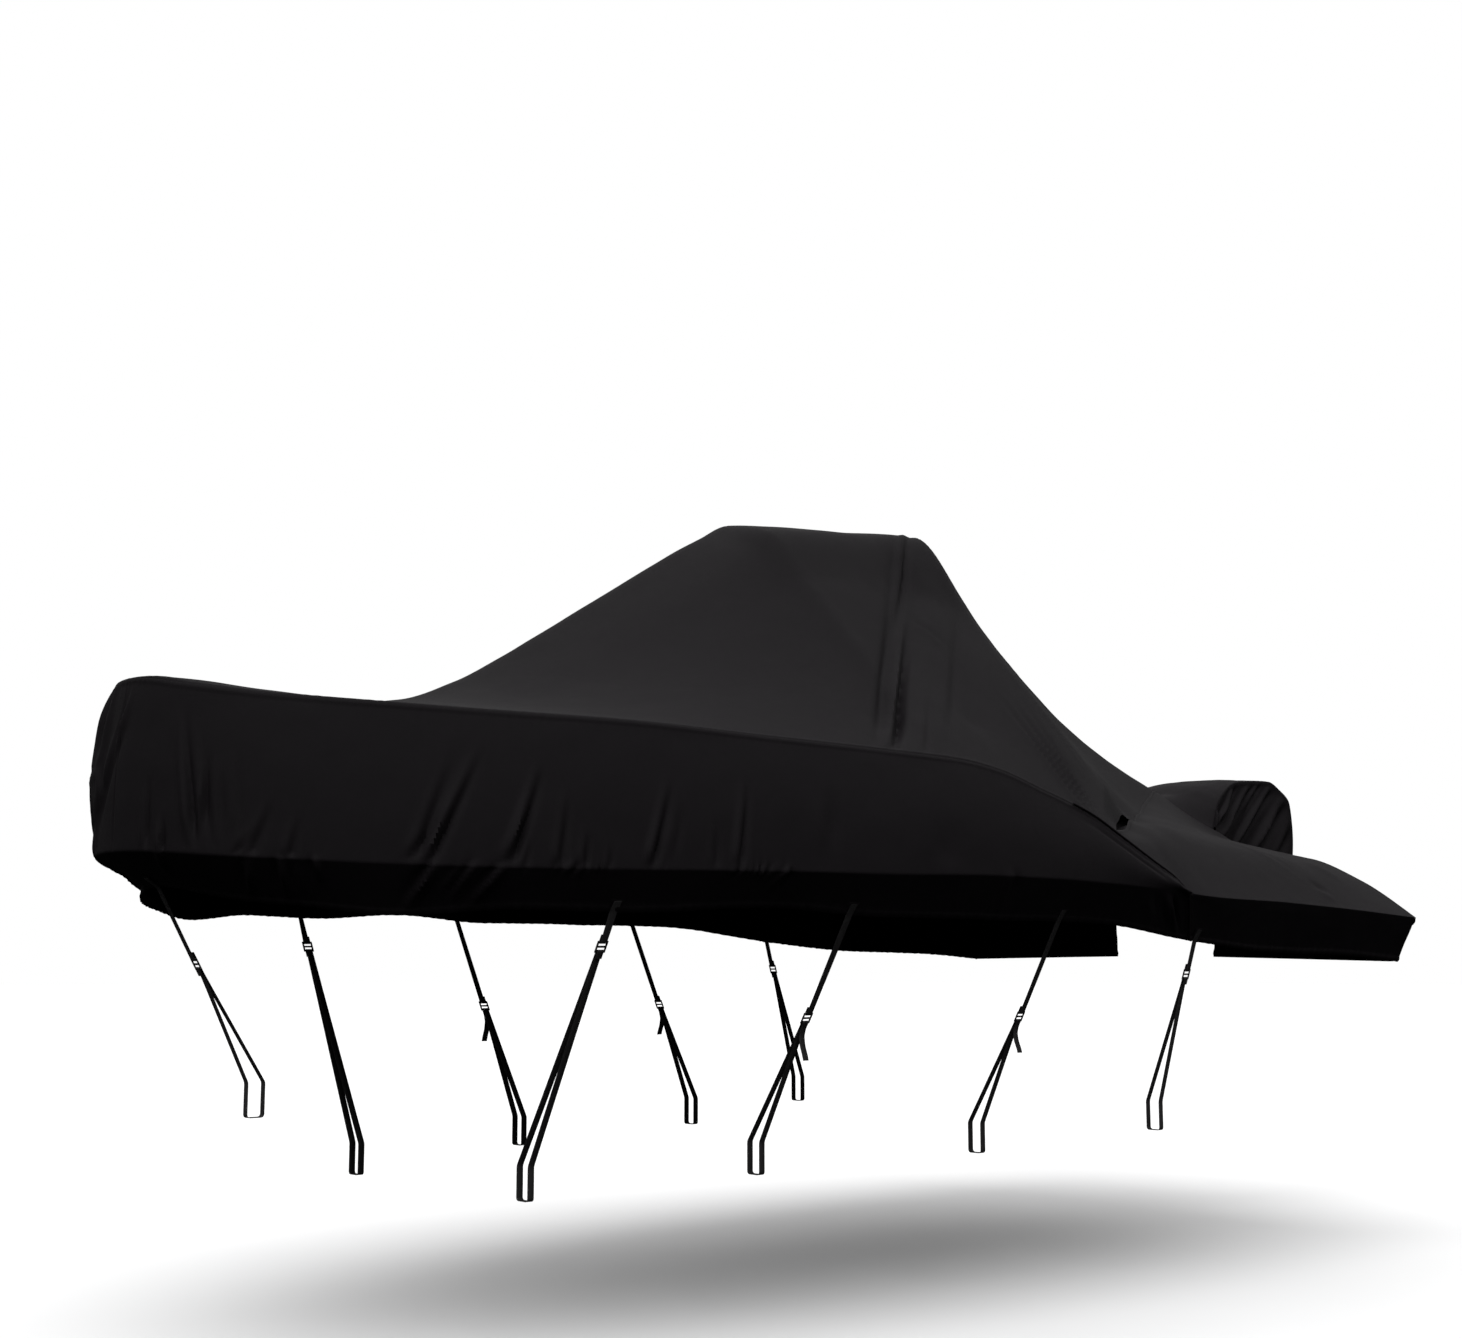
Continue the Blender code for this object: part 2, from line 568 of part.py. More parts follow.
class Strap:
    """One strap in its own upright plane: out from the middle of the cover, and up.

    lay(out, up) puts a point of that plane in the part's frame, and across is the
    direction of the webbing's width."""

    def __init__(self, name, lay, across, patch, outer, foot, buckle, tail):
        self.name, self.lay, self.across, self.tail = name, lay, across, tail
        self.patch = patch
        self.top = patch["sewn"][-1]
        self.inner, self.outer = outer - LOOP_WIDTH, outer
        self.foot, self.head = foot, foot + LOOP_HEIGHT
        aim = np.array([outer - LOOP_WIDTH / 2, self.head]) - self.top
        self.along = aim / np.linalg.norm(aim)
        self.out = np.array([-self.along[1], self.along[0]])
        if self.out[0] < 0:
            self.out = -self.out
        self.buckle = self.top + self.along * buckle

    def at_buckle(self, down, out):
        return self.buckle + self.along * down + self.out * out

    def turn_round_bar(self, bar, upward):
        """The webbing's turn round a bar, from the back of the buckle to its front."""
        way = -1 if upward else 1
        return [self.at_buckle(bar + way * (BUCKLE_BAR / 4 + BAR_TURN * math.cos(a)),
                               BAR_TURN * math.sin(a))
                for a in np.radians(np.linspace(-90, 90, 5))]

    def band(self, part, points, widths=None):
        points = [np.array(p) for p in points]
        middle, normals = [], []
        for k, point in enumerate(points):
            before, after = points[max(k - 1, 0)], points[min(k + 1, len(points) - 1)]
            ways = [w / np.linalg.norm(w) for w in (point - before, after - point)
                    if np.linalg.norm(w) > 1e-9]
            way = sum(ways) / np.linalg.norm(sum(ways))
            sharp = max(0.5, float(np.dot(way, ways[0])))
            normal = np.array([-way[1], way[0]]) / sharp
            middle.append(self.lay(*point))
            normals.append(self.lay(*(point + normal)) - self.lay(*point))
        widths = widths or [self.across] * len(points)
        add_band(f"strap_{self.name}_{part}", middle, widths, normals, WEB_WIDTH, WEB, webbing())

    def add_hanger(self):
        """The short upper webbing: sewn over the patch, then round the buckle's top bar."""
        top_bar = -(BUCKLE_LENGTH - BUCKLE_BAR) / 2
        sewn = self.patch["sewn"]
        turn = self.turn_round_bar(top_bar, upward=False)[::-1]
        end = self.at_buckle(top_bar - SHORT_END, -BAR_TURN)
        points = [*sewn, *turn, end]
        widths = [self.patch["across"]] * len(sewn) + [self.across] * (len(turn) + 1)
        self.band("hanger", points, widths)

    def add_loop(self):
        """The long webbing: free end, bottom bar, down at the back and up at the front."""
        low_bar = (BUCKLE_LENGTH - BUCKLE_BAR) / 2
        front = [self.at_buckle(low_bar + SHORT_END, BAR_TURN)]
        if self.tail:
            front = [self.at_buckle(low_bar + SHORT_END + 0.8 * down * self.tail,
                                    BAR_TURN + out * self.tail)
                     for down, out in TAIL_FALL[::-1]] + front
        turn = self.turn_round_bar(low_bar, upward=True)[::-1]
        fork = low_bar + 0.018
        back = [self.at_buckle(fork, -BAR_TURN)]
        clear = WEB / 2 + GAP
        inner, outer = self.inner - clear, self.outer + clear
        low, high, r = self.foot - clear, self.head, LOOP_TURN
        foot = [np.array([inner, high]),
                *bend(np.array([inner + r, low + r]), r, 180, 270, 3),
                *bend(np.array([outer - r, low + r]), r, 270, 360, 3),
                np.array([outer, high])]
        rise = [self.at_buckle(fork + 0.004, -BAR_TURN + WEB + GAP)]
        self.band("loop", front + turn + back + foot + rise)

    def add_buckle(self):
        """A flat frame with two slots, from its outline and its openings."""
        name = f"strap_{self.name}_buckle"
        data = bpy.data.curves.new(name, "CURVE")
        data.dimensions = "2D"
        data.fill_mode = "BOTH"
        data.extrude = BUCKLE_THICKNESS / 2
        slot = (BUCKLE_LENGTH - 3 * BUCKLE_BAR) / 2
        slot_at = (slot + BUCKLE_BAR) / 2
        slot_width = BUCKLE_WIDTH - 2 * BUCKLE_SIDE
        for width, height, rise, cut in (
                (BUCKLE_WIDTH, BUCKLE_LENGTH, 0, BUCKLE_CORNER),
                (slot_width, slot, slot_at, SLOT_CORNER),
                (slot_width, slot, -slot_at, SLOT_CORNER)):
            x, y = width / 2, height / 2
            outline = [(x, y - cut), (x - cut, y), (cut - x, y), (-x, y - cut),
                       (-x, cut - y), (cut - x, -y), (x - cut, -y), (x, cut - y)]
            spline = data.splines.new("POLY")
            spline.points.add(len(outline) - 1)
            spline.use_cyclic_u = True
            for knot, (a, b) in zip(spline.points, outline):
                knot.co = (a, b + rise, 0, 1)
        piece = add_piece(name, data, plastic())
        up = self.lay(*(self.buckle - self.along)) - self.lay(*self.buckle)
        turned = Matrix((self.across, up, np.cross(self.across, up))).transposed()
        piece.matrix_world = Matrix.LocRotScale(self.lay(*self.buckle), turned.to_quaternion(),
                                                None)

    def add(self):
        add_band(f"strap_{self.name}_patch", *self.patch["cloth"], PATCH_WIDTH, CLOTH, cloth())
        self.add_hanger()
        self.add_loop()
        self.add_buckle()


def sewn_patch(surface, flat, outward):
    """A patch on the skirt, and where the webbing is sewn over it.

    surface(down) gives the skirt's middle line and its two neighbours 1 mm either side;
    flat(point) gives a point's place in the strap's own plane."""
    downs = (PATCH_TOP, PATCH_FOOT)
    left, right = ([surface(down, side) for down in downs] for side in (-1, 1))
    middle = [(a + b) / 2 for a, b in zip(left, right)]
    across = (right[0] - left[0]) / np.linalg.norm(right[0] - left[0])
    normal = np.cross(middle[1] - middle[0], across)
    normal /= np.linalg.norm(normal)
    normal = normal if np.dot(normal, outward) > 0 else -normal
    on_cloth = [p + normal * (1.5 * CLOTH + GAP) for p in middle]
    on_patch = [p + normal * (2 * CLOTH + 2 * GAP + WEB / 2) for p in middle]
    run = on_patch[1] - on_patch[0]
    return {"cloth": (on_cloth, [across] * 2, [normal] * 2), "across": across,
            "sewn": [flat(on_patch[0] + run * 0.1), flat(on_patch[1])]}


def add_side_strap(row, side):
    name, aft, outer, foot, buckle, tail = row
    mirror = -1 if side == "port" else 1
    x, _, zero = placed((aft, 0, 0), side)

    def lay(out, up):
        return np.array([x, mirror * out, up + zero])

    def surface(down, way):
        at = station_over(aft + way * PATCH_ROOM, down)
        if at < SEAM_STATION:
            return placed(side_point(at, down), side)
        top, hem = edge("fold", at), edge("hem", at)
        return placed(top + (hem - top) * (down - 1), side)

    patch = sewn_patch(surface, lambda p: np.array([mirror * p[1], p[2] - zero]),
                       np.array([0, mirror, -0.2]))
    Strap(f"{side}_{name}", lay, np.array([1.0, 0, 0]), patch, outer, foot, buckle, tail).add()


def add_bow_strap():
    name, outer, foot, buckle, tail = BOW_STRAP
    x0, _, zero = placed((0, 0, 0), "port")

    def lay(out, up):
        return np.array([x0 - out, 0, up + zero])

    def surface(down, way):
        point = placed(side_point(0, down), "port")
        return point + np.array([0, way * PATCH_ROOM, 0])

    patch = sewn_patch(surface, lambda p: np.array([x0 - p[0], p[2] - zero]),
                       np.array([-1, 0, -0.5]))
    Strap(name, lay, np.array([0, 1.0, 0]), patch, outer, foot, buckle, tail).add()


def build():
    for old in list(bpy.data.objects):
        bpy.data.objects.remove(old, do_unlink=True)
    collection = bpy.data.collections.new(COLLECTION)
    bpy.context.scene.collection.children.link(collection)

    inside = placed((2.6, 0, 0.1), "port")
    add_sheet("tent_panel", [tent_grid("port"), tent_grid("starboard")], inside)
    add_sheet("hood_cap", [cap_grid()], placed((5.5, 0, 0.2), "port"))
    for side in ("port", "starboard"):
        add_sheet("side_panel_" + side, [side_grid(side)], inside)
        add_sheet("aft_panel_" + side, aft_grids(side), placed((4.2, 0, -0.1), side))
        add_sheet("hood_side_" + side, [hood_side_grid(side)], placed((5.5, 0, 0.2), side))
        add_welt(side)
        for row in STRAPS:
            add_side_strap(row, side)
    add_bow_strap()


build()
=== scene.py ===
"""A fitted boat cover in black coated polyester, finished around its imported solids.

+X runs aft, +Y to starboard and +Z up, in metres. Tables give stations in metres aft of the bow
and heights above the level at which the cloth folds over at the sides.
"""
import math

import bmesh
import bpy
import numpy as np
from mathutils import Matrix, Vector, noise


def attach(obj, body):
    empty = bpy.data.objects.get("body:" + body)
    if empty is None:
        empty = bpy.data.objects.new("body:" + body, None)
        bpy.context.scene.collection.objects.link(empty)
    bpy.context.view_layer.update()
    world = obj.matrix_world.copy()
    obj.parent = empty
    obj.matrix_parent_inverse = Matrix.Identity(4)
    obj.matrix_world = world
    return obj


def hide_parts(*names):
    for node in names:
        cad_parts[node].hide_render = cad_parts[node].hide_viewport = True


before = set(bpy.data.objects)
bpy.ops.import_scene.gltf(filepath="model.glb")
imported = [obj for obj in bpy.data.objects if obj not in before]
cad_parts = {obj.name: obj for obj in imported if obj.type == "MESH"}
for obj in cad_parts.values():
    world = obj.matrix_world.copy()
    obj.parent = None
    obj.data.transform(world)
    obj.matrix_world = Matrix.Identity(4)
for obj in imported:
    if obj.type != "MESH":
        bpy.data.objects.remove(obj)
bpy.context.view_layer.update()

BODY = "root"
SIDES = {"port": -1, "starboard": 1}

# ---- driving dimensions, metres ----
CLOTH = 0.002            # thickness of the coated polyester
GAP = 0.0005             # air between two pieces that touch
TINY = 1e-9              # less than this is nothing
LENGTH = 5.20            # bow to stern, along the fold
BOW_LENGTH = 3.00        # the plan is an ellipse as far aft as this, then straight
SUPPORT_STATION = 2.95   # where the cover is held up
SLIT_STATION = 3.21      # the tent's foot leaves the side panel here
SEAM_STATION = 3.575     # the side panel ends here
TIP_DOWN = 1.03          # the side panel's upper tip ends just below the fold
WALL_BOW = 0.018         # how far the side panel swells outward
WALL_DROP, SKIRT_DROP = 0.45, 0.16   # length of its cloth above and below the fold, roughly
BOW_FLARE = 0.6          # share of forward in the swelling at the bow
TAUT_EDGE = 6            # the top cloth is taut along the outer sixth of its half-width
TAUT_BOW = 0.012         # and the side panel this far aft of the bow
CREST = 0.045            # the spine is rounded over this far to each side

SPINE_START = 0.30       # the spine of the tent starts here
SPINE_END = 5.12         # and ends at the front of the hood
STERN_ROUNDING = (0.010, 0.006)   # of the deck's corner, along X and Y
STERN_CORNER = 0.15      # share of the stern's edge that the rounding takes
STERN_TURN = 8           # and the power with which the side edge turns to it
STERN_HEM_IN = 0.030     # the hem at the stern corner lies this far forward of the deck's edge
STERN_HEM_RISE = 0.020   # and this much higher amidships

HOOD_HALF = 0.29         # half the width of the deck's cut-out for the hood
HOOD_SHOULDER = 0.05     # how far its front is rounded
HOOD_FRONT = 0.6         # share of the cut-out's edge that the rounded front takes
HOOD_BLEND = 0.2         # share of the cap's length in which it rises from the deck
HOOD_HEM = 0.10          # height of its hem

WELT_RADIUS = 0.0045     # piping of the seam behind the side panel
WELT_START = 3.00        # it begins here, at full size after WELT_GROWS
WELT_GROWS = 0.25
WELT_LEAN = 0.97         # share of the half-width at which the deck's slope is taken
WELT_BELOW = 0.2         # and how far down the wall's
NEIGHBOUR = 0.01         # distance to a neighbouring station
WEB_WIDTH = 0.025        # 25 mm webbing
WEB = 0.0018             # and its thickness
PATCH_WIDTH = 0.042      # cloth patch that a strap is sewn to
PATCH_ROOM = 0.6 * PATCH_WIDTH
PATCH_TOP, PATCH_FOOT = 1.70, 1.985
PATCH_STEPS = 6
SEWN_FROM = 0.1          # share of the patch above the webbing's end

BUCKLE_WIDTH, BUCKLE_LENGTH, BUCKLE_THICKNESS = 0.040, 0.040, 0.004
BUCKLE_BAR, BUCKLE_SIDE = 0.006, 0.006
BUCKLE_ROUNDING = 0.0011
BAR_TURN = 0.0040        # radius of the webbing's middle round a bar
SHORT_END = 0.022        # webbing beyond a bar
FORK, FORK_STEP = 0.018, 0.004       # the two layers of a loop part this far below a bar
LOOP_WIDTH, LOOP_HEIGHT = 0.055, 0.105   # what the straps were looped round
LOOP_TURN = 0.010

# ---- how finely the cloth is modelled ----
TENT_FORE_STEP, TENT_AFT_STEP, TENT_ACROSS = 0.017, 0.0105, 80
TENT_FINE_FROM = 1.85
SIDE_STEP = 0.0065
WALL_STEPS, FOLD_STEPS, SKIRT_STEPS = 26, 10, 8
DECK_STEP, DECK_ACROSS = 0.014, 76
FOLD_BAND = 0.94, 1.10   # where the side panel's rows are finest
TENT_RUN, DECK_RUN = 1.4, 1.2        # cloth across half the tent and the deck, roughly
FOOT_ROWS, FOOT_ROW, FOOT_ROW_GROWTH = 7, 0.005, 1.2     # extra rows behind the tent's foot
STERN_ROWS, STERN_ROW = 4, 0.004                         # and at the stern
EDGE_STEPS = 6           # finer steps within EDGE_WIDTH of a sewn edge or a hem
EDGE_WIDTH = 0.026
CAP_ALONG, CAP_ACROSS = 130, 56
CAP_HALF_RUN = 0.25      # cloth across half the cap, roughly
GATHER_ALONG, GATHER_DOWN = 150, 56

SEAM_LIP = 0.0014        # a sewn edge stands this much proud
SEAM_BAND = 0.013        # over this width
SEAM_SINK = 0.0016       # and dips this much along the seam itself
WELT_LIP = 2.4           # times as proud beside the piping
HEM_BAND = 0.024         # turned-up cloth of a hem
HEM_ROLL = 0.0016
HEM_TURN = 0.0006        # height of the turned-up cloth
AFT_HEM = 1.8            # times as full behind the side panel
EDGE_SLOPE = 0.004       # the relief of an edge rises and falls over this
# Waves along an edge, as length, share and phase; their height; how far in they reach.
SEW_WAVES, SEW_WAVE, SEW_REACH = ((0.031, 1.0, 0), (0.047, 0.6, 1)), 0.00035, 0.03
HEM_WAVES, HEM_WAVE, HEM_REACH = ((0.042, 1.0, 0), (0.067, 0.7, 2)), 0.0009, 0.035
SEW_WAVE_RISE = 0.01     # over this, the waves rise from the edge
# A second row of sewing below the piping.
SECOND_ROW = {"down": 0.048, "depth": 0.006, "half_width": 0.010, "first": 2.98, "last": 3.50}
# Relief fades out over these beside a seam, an outer edge, the cap's edges and a narrow end.
CALM, CALM_OUTER, CALM_CAP, CALM_NARROW = 0.05, 0.04, 0.03, 0.02
# Unevenness of each cloth: height, size and seed of its lumps.
LUMPS = {"tent": ((0.0030, 0.45, 1), (0.0012, 0.13, 2)),
         "side": ((0.0026, 0.30, 3), (0.0010, 0.09, 4)),
         "deck": ((0.0035, 0.40, 5), (0.0012, 0.12, 6)),
         "skirt": ((0.0040, 0.22, 7), (0.0014, 0.07, 8)),
         "cap": ((0.0040, 0.16, 9), (0.0014, 0.05, 10)),
         "gathers": ((0.0016, 0.05, 11),)}
CORNER_FOLD, CORNER_HALF = 0.006, 0.009      # height and half-width, at the stern's corner


def monotone(xs, ys):
    """A smooth curve through the points that never overshoots them."""
    xs, ys = np.array(xs, float), np.array(ys, float)
    step = np.diff(xs)
    slope = np.diff(ys) / step
    tangent = np.zeros(len(xs))
    tangent[0], tangent[-1] = slope[0], slope[-1]
    same_way = slope[:-1] * slope[1:] > 0
    left, right = 2 * step[1:] + step[:-1], step[1:] + 2 * step[:-1]
    mean = (left + right) / (left / np.where(same_way, slope[:-1], 1.0)
                             + right / np.where(same_way, slope[1:], 1.0))
    tangent[1:-1] = np.where(same_way, mean, 0.0)

    def curve(x):
        x = np.clip(np.asarray(x, float), xs[0], xs[-1])
        k = np.clip(np.searchsorted(xs, x) - 1, 0, len(step) - 1)
        t = (x - xs[k]) / step[k]
        rise = (t * t * (3 - 2 * t)) * (ys[k + 1] - ys[k])
        bend = step[k] * t * (1 - t) * ((1 - t) * tangent[k] - t * tangent[k + 1])
        return ys[k] + rise + bend
    return curve


def table(header, rows):
    """The columns of a table, by name, each a smooth curve over the first column."""
    data = np.array(rows, float).T
    return {name: monotone(data[0], data[k])
            for k, name in enumerate(header.split()) if k}


# Half-widths are those of the straight part; the bow's ellipse scales them. hem_aft is how far
# the skirt's seams slant aft on their way down.
EDGES = table(
    "station ridge_half ridge_z fold_half fold_z hem_half hem_z hem_aft", [
        (0.00,  1.17,  0.566, 1.27,  0.046, 1.170, -0.052, 0.000),
        (0.05,  1.17,  0.541, 1.27,  0.040, 1.170, -0.078, 0.000),
        (0.12,  1.17,  0.521, 1.27,  0.030, 1.170, -0.097, 0.000),
        (0.25,  1.17,  0.498, 1.27,  0.019, 1.170, -0.114, 0.000),
        (0.50,  1.17,  0.477, 1.27,  0.005, 1.170, -0.141, 0.000),
        (0.82,  1.17,  0.461, 1.27, -0.003, 1.170, -0.122, 0.000),
        (1.20,  1.17,  0.450, 1.27, -0.004, 1.170, -0.128, 0.000),
        (1.65,  1.17,  0.425, 1.27, -0.001, 1.170, -0.110, 0.000),
        (2.10,  1.17,  0.407, 1.27, -0.002, 1.170, -0.136, 0.000),
        (2.47,  1.17,  0.392, 1.27,  0.003, 1.170, -0.138, 0.000),
        (2.65, 1.175,  0.366, 1.27,  0.001, 1.170, -0.142, 0.000),
        (2.85, 1.187,  0.308, 1.27, -0.002, 1.170, -0.142, 0.002),
        (3.09, 1.208,  0.231, 1.27, -0.010, 1.170, -0.146, 0.020),
        (3.24, 1.227,  0.154, 1.27, -0.016, 1.170, -0.158, 0.050),
        (3.40, 1.246,  0.070, 1.27, -0.024, 1.170, -0.182, 0.090),
        (3.50, 1.258,  0.018, 1.27, -0.030, 1.170, -0.198, 0.115),
        (SEAM_STATION,  1.27, -0.037, 1.27, -0.037, 1.170, -0.208, 0.130),
        (4.25,  1.27, -0.064, 1.27, -0.064, 1.170, -0.254, 0.055),
        (4.75,  1.27, -0.088, 1.27, -0.088, 1.170, -0.266, 0.015),
        (5.20,  1.27, -0.117, 1.27, -0.117, 1.165, -0.294, 0.000),
    ])
# At the bow the three edges lie this far aft of the bow's tip.
RAKE = {"ridge": 0.030, "fold": 0.000, "hem": 0.155}

# Heights of the top cloth at the spine and at fifths of the way out to the ridge.
TOP_COLUMNS = ("crown", "fifth_1", "fifth_2", "fifth_3", "fifth_4")
TOP = table(
    "station crown fifth_1 fifth_2 fifth_3 fifth_4", [
        (0.00, 0.566, 0.566, 0.566, 0.566, 0.566),
        (0.30, 0.548, 0.545, 0.538, 0.526, 0.510),
        (0.60, 0.540, 0.535, 0.524, 0.508, 0.490),
        (0.96, 0.576, 0.558, 0.533, 0.510, 0.486),
        (1.20, 0.662, 0.614, 0.565, 0.525, 0.488),
        (1.28, 0.702, 0.645, 0.586, 0.538, 0.493),
        (1.80, 1.010, 0.908, 0.778, 0.655, 0.540),
        (2.34, 1.324, 1.235, 1.035, 0.815, 0.605),
        (2.44, 1.374, 1.320, 1.090, 0.850, 0.620),
        (2.95, 1.415, 1.372, 1.110, 0.840, 0.560),
        (3.24, 1.436, 1.400, 1.080, 0.780, 0.480),
        (3.34, 1.420, 1.312, 1.010, 0.720, 0.430),
        (3.44, 1.355, 1.152, 0.920, 0.650, 0.375),
        (3.60, 1.255, 0.990, 0.775, 0.520, 0.290),
        (3.80, 1.165, 0.910, 0.625, 0.395, 0.205),
        (4.05, 1.005, 0.720, 0.475, 0.290, 0.170),
        (4.40, 0.775, 0.530, 0.340, 0.225, 0.150),
        (4.80, 0.590, 0.400, 0.255, 0.185, 0.100),
        (5.20, 0.452, 0.310, 0.180, 0.151, 0.046),
    ])

# Where a line of pull in the tent leaves the ridge, and where it meets the spine.
PULL = table(
    "ridge spine", [
        (0.00, SPINE_START),
        (0.60, 1.10),
        (1.50, 2.38),
        (2.17, 3.24),
        (2.60, 3.90),
        (SLIT_STATION, SPINE_END),
    ])

# The hood's cap: its middle line, then the seam to the gathered side.
HOOD = table(
    "along x z seam_x seam_half seam_z", [
        (0.00, 5.1215,    0.470, 5.170, 0.2884,    0.325),
        (0.12,  5.200,    0.478, 5.205,  0.280,    0.385),
        (0.26,  5.310,    0.524, 5.275,  0.272,    0.460),
        (0.40,  5.450,    0.554, 5.380,  0.262,    0.520),
        (0.55,  5.570,    0.556, 5.545,  0.252,    0.538),
        (0.68,  5.700,    0.552, 5.700,  0.248,    0.545),
        (0.76,  5.790,    0.520, 5.785,  0.250,    0.510),
        (0.82,  5.865,    0.462, 5.855,  0.254,    0.452),
        (0.90,  5.880,    0.300, 5.872,  0.256,    0.295),
        (1.00,  5.870, HOOD_HEM, 5.862,  0.250, HOOD_HEM),
    ])
# The lower edge of the gathered side: on the deck, then hanging behind the stern.
HOOD_SIDE_HEM = table(
    "along x z", [
        (0.00, 5.192,    0.305),
        (0.26, 5.205,    0.285),
        (0.40, 5.240,    0.130),
        (0.68, 5.400,    0.115),
        (0.84, 5.660,    0.105),
        (1.00, 5.862, HOOD_HEM),
    ])

# ---- creases: from one point to another, with a trough and, forward of it, a ridge ----
# peak is the share of the length at which a crease is deepest, ridge the ridge's share of the
# trough's depth. In the side panel, down 0 is the ridge, 1 the fold and 2 the hem.
SIDE_CREASES = [
    # station, down, station, down, depth, half-width, peak, ridge
    (0.068, 0.08, 0.103, 0.98,  0.017, 0.013, 0.76, 0.6),
    (0.098, 0.16, 0.130, 0.99,  0.007, 0.013, 0.70, 0.5),
    (0.120, 0.30, 0.112, 0.97,  0.009, 0.010, 0.65, 0.7),
    (0.143, 0.38, 0.148, 0.96,  0.004, 0.011, 0.60, 0.6),
    (0.176, 0.30, 0.182, 0.92,  0.003, 0.014, 0.60, 0.6),
    (0.028, 0.52, 0.025, 1.02,  0.012, 0.010, 0.78, 0.5),
    (0.049, 0.78, 0.047, 1.14,  0.013, 0.009, 0.62, 0.8),
    (0.262, 0.60, 0.202, 1.00,  0.009, 0.012, 0.85, 0.6),
    (0.310, 0.72, 0.284, 1.00,  0.009, 0.011, 0.85, 0.6),
    (0.225, 0.82, 0.165, 1.02,  0.005, 0.010, 0.70, 0.6),
    (0.205, 0.98, 0.138, 2.04, -0.015, 0.011, 0.45, 0.5),
    (0.272, 0.95, 0.222, 2.02, -0.015, 0.011, 0.40, 0.5),
    (0.345, 0.96, 0.325, 1.50, -0.010, 0.010, 0.40, 0.5),
    (0.300, 1.00, 0.262, 1.90, -0.005, 0.012, 0.40, 0.5),
    (0.695, 0.24, 0.572, 0.99,  0.012, 0.014, 0.82, 0.4),
    (0.775, 0.20, 0.604, 1.03,  0.017, 0.012, 0.84, 1.0),
    (0.690, 0.60, 0.545, 1.00,  0.005, 0.012, 0.80, 0.6),
    (0.640, 0.96, 0.500, 2.04, -0.018, 0.012, 0.40, 0.5),
    (0.742, 0.94, 0.630, 1.85, -0.012, 0.011, 0.40, 0.5),
    (0.700, 0.98, 0.600, 1.70, -0.006, 0.010, 0.40, 0.5),
    (0.935, 0.30, 0.818, 1.02,  0.021, 0.012, 0.80, 0.9),
    (0.880, 0.62, 0.800, 1.00,  0.007, 0.011, 0.75, 0.6),
    (0.818, 0.95, 0.676, 2.02, -0.017, 0.012, 0.40, 0.5),
    (0.880, 0.80, 0.850, 1.20,  0.006, 0.010, 0.55, 0.6),
    (1.000, 0.46, 0.955, 1.02,  0.010, 0.012, 0.85, 0.7),
    (1.045, 0.74, 1.025, 1.04,  0.009, 0.010, 0.75, 0.7),
    (1.110, 0.84, 1.095, 1.06,  0.005, 0.009, 0.70, 0.6),
    (1.325, 0.34, 1.225, 1.02,  0.016, 0.012, 0.82, 0.9),
    (1.345, 0.52, 1.290, 0.98,  0.004, 0.014, 0.60, 0.6),
    (1.575, 0.30, 1.508, 1.03,  0.015, 0.012, 0.82, 0.9),
    (1.450, 0.62, 1.430, 1.00,  0.005, 0.012, 0.80, 0.6),
    (1.875, 0.28, 1.845, 0.92,  0.005, 0.030, 0.60, 0.6),
    (1.700, 0.96, 1.640, 1.80,  0.007, 0.016, 0.35, 0.8),
    (2.350, 0.40, 2.300, 0.98,  0.005, 0.060, 0.70, 0.5),
    (2.620, 0.90, 2.640, 1.80,  0.006, 0.020, 0.40, 0.7),
    (3.480, 1.02, 3.535, 1.98,  0.014, 0.012, 0.35, 1.0),
    (3.440, 1.02, 3.480, 1.90, -0.009, 0.012, 0.40, 0.4),
    (3.380, 1.05, 3.420, 1.80,  0.006, 0.022, 0.40, 0.6),
]
# On the nose, measured round the fold from the bow, port positive.
NOSE_CREASES = [
    # arc, down, arc, down, depth, half-width, peak, ridge
    (-0.100, -0.30, -0.160, 0.52,  0.032, 0.017, 0.60, -0.35),
    (0.222,   0.98,  0.139, 1.72, -0.013, 0.010, 0.35,   0.0),
    (0.036,   0.02, -0.055, 0.54,  0.009, 0.009, 0.50,  -1.0),
    (0.085,   0.10, -0.172, 0.96,  0.010, 0.020, 0.60,   0.9),
    (-0.110,  0.47, -0.100, 0.68,  0.009, 0.011, 0.50,   0.6),
    (-0.175,  0.66, -0.255, 0.90,  0.010, 0.013, 0.50,   0.6),
    (-0.370,  0.47, -0.100, 0.50,  0.008, 0.010, 0.60,   0.9),
]
# The cloth is slack and stands out on the starboard side of the nose, between two places round
# the fold; fades are lengths beside them. Below, its skirt is drawn in.
NOSE_SWELL = {"height": 0.026, "arc": (-0.09, -0.55), "fades": (0.07, 0.22),
              "rises": 0.22, "down": 0.98, "falls": 0.55}
NOSE_TUCK = {"depth": 0.030, "fades": (0.12, 0.25), "stays": 0.8, "down": 1.02, "grows": 0.4}
# Where the cloth is puckered at the fold.
PUCKERS = [
    # from, to, pitch, height
    (0.920, 1.090, 0.027, 0.0055),
    (1.470, 1.700, 0.031, 0.0058),
    (1.210, 1.290, 0.023, 0.0025),
    (0.560, 0.640, 0.020, 0.0030),
]
PUCKER_FADE, PUCKER_HALF = 0.03, 0.024
PUCKER_SLANT = 0.35
PUCKER_SWAY, PUCKER_SWAY_RATE = 2.6, 37
PUCKER_EVEN, PUCKER_UNEVEN, PUCKER_UNEVEN_RATE = 0.65, 0.35, 61
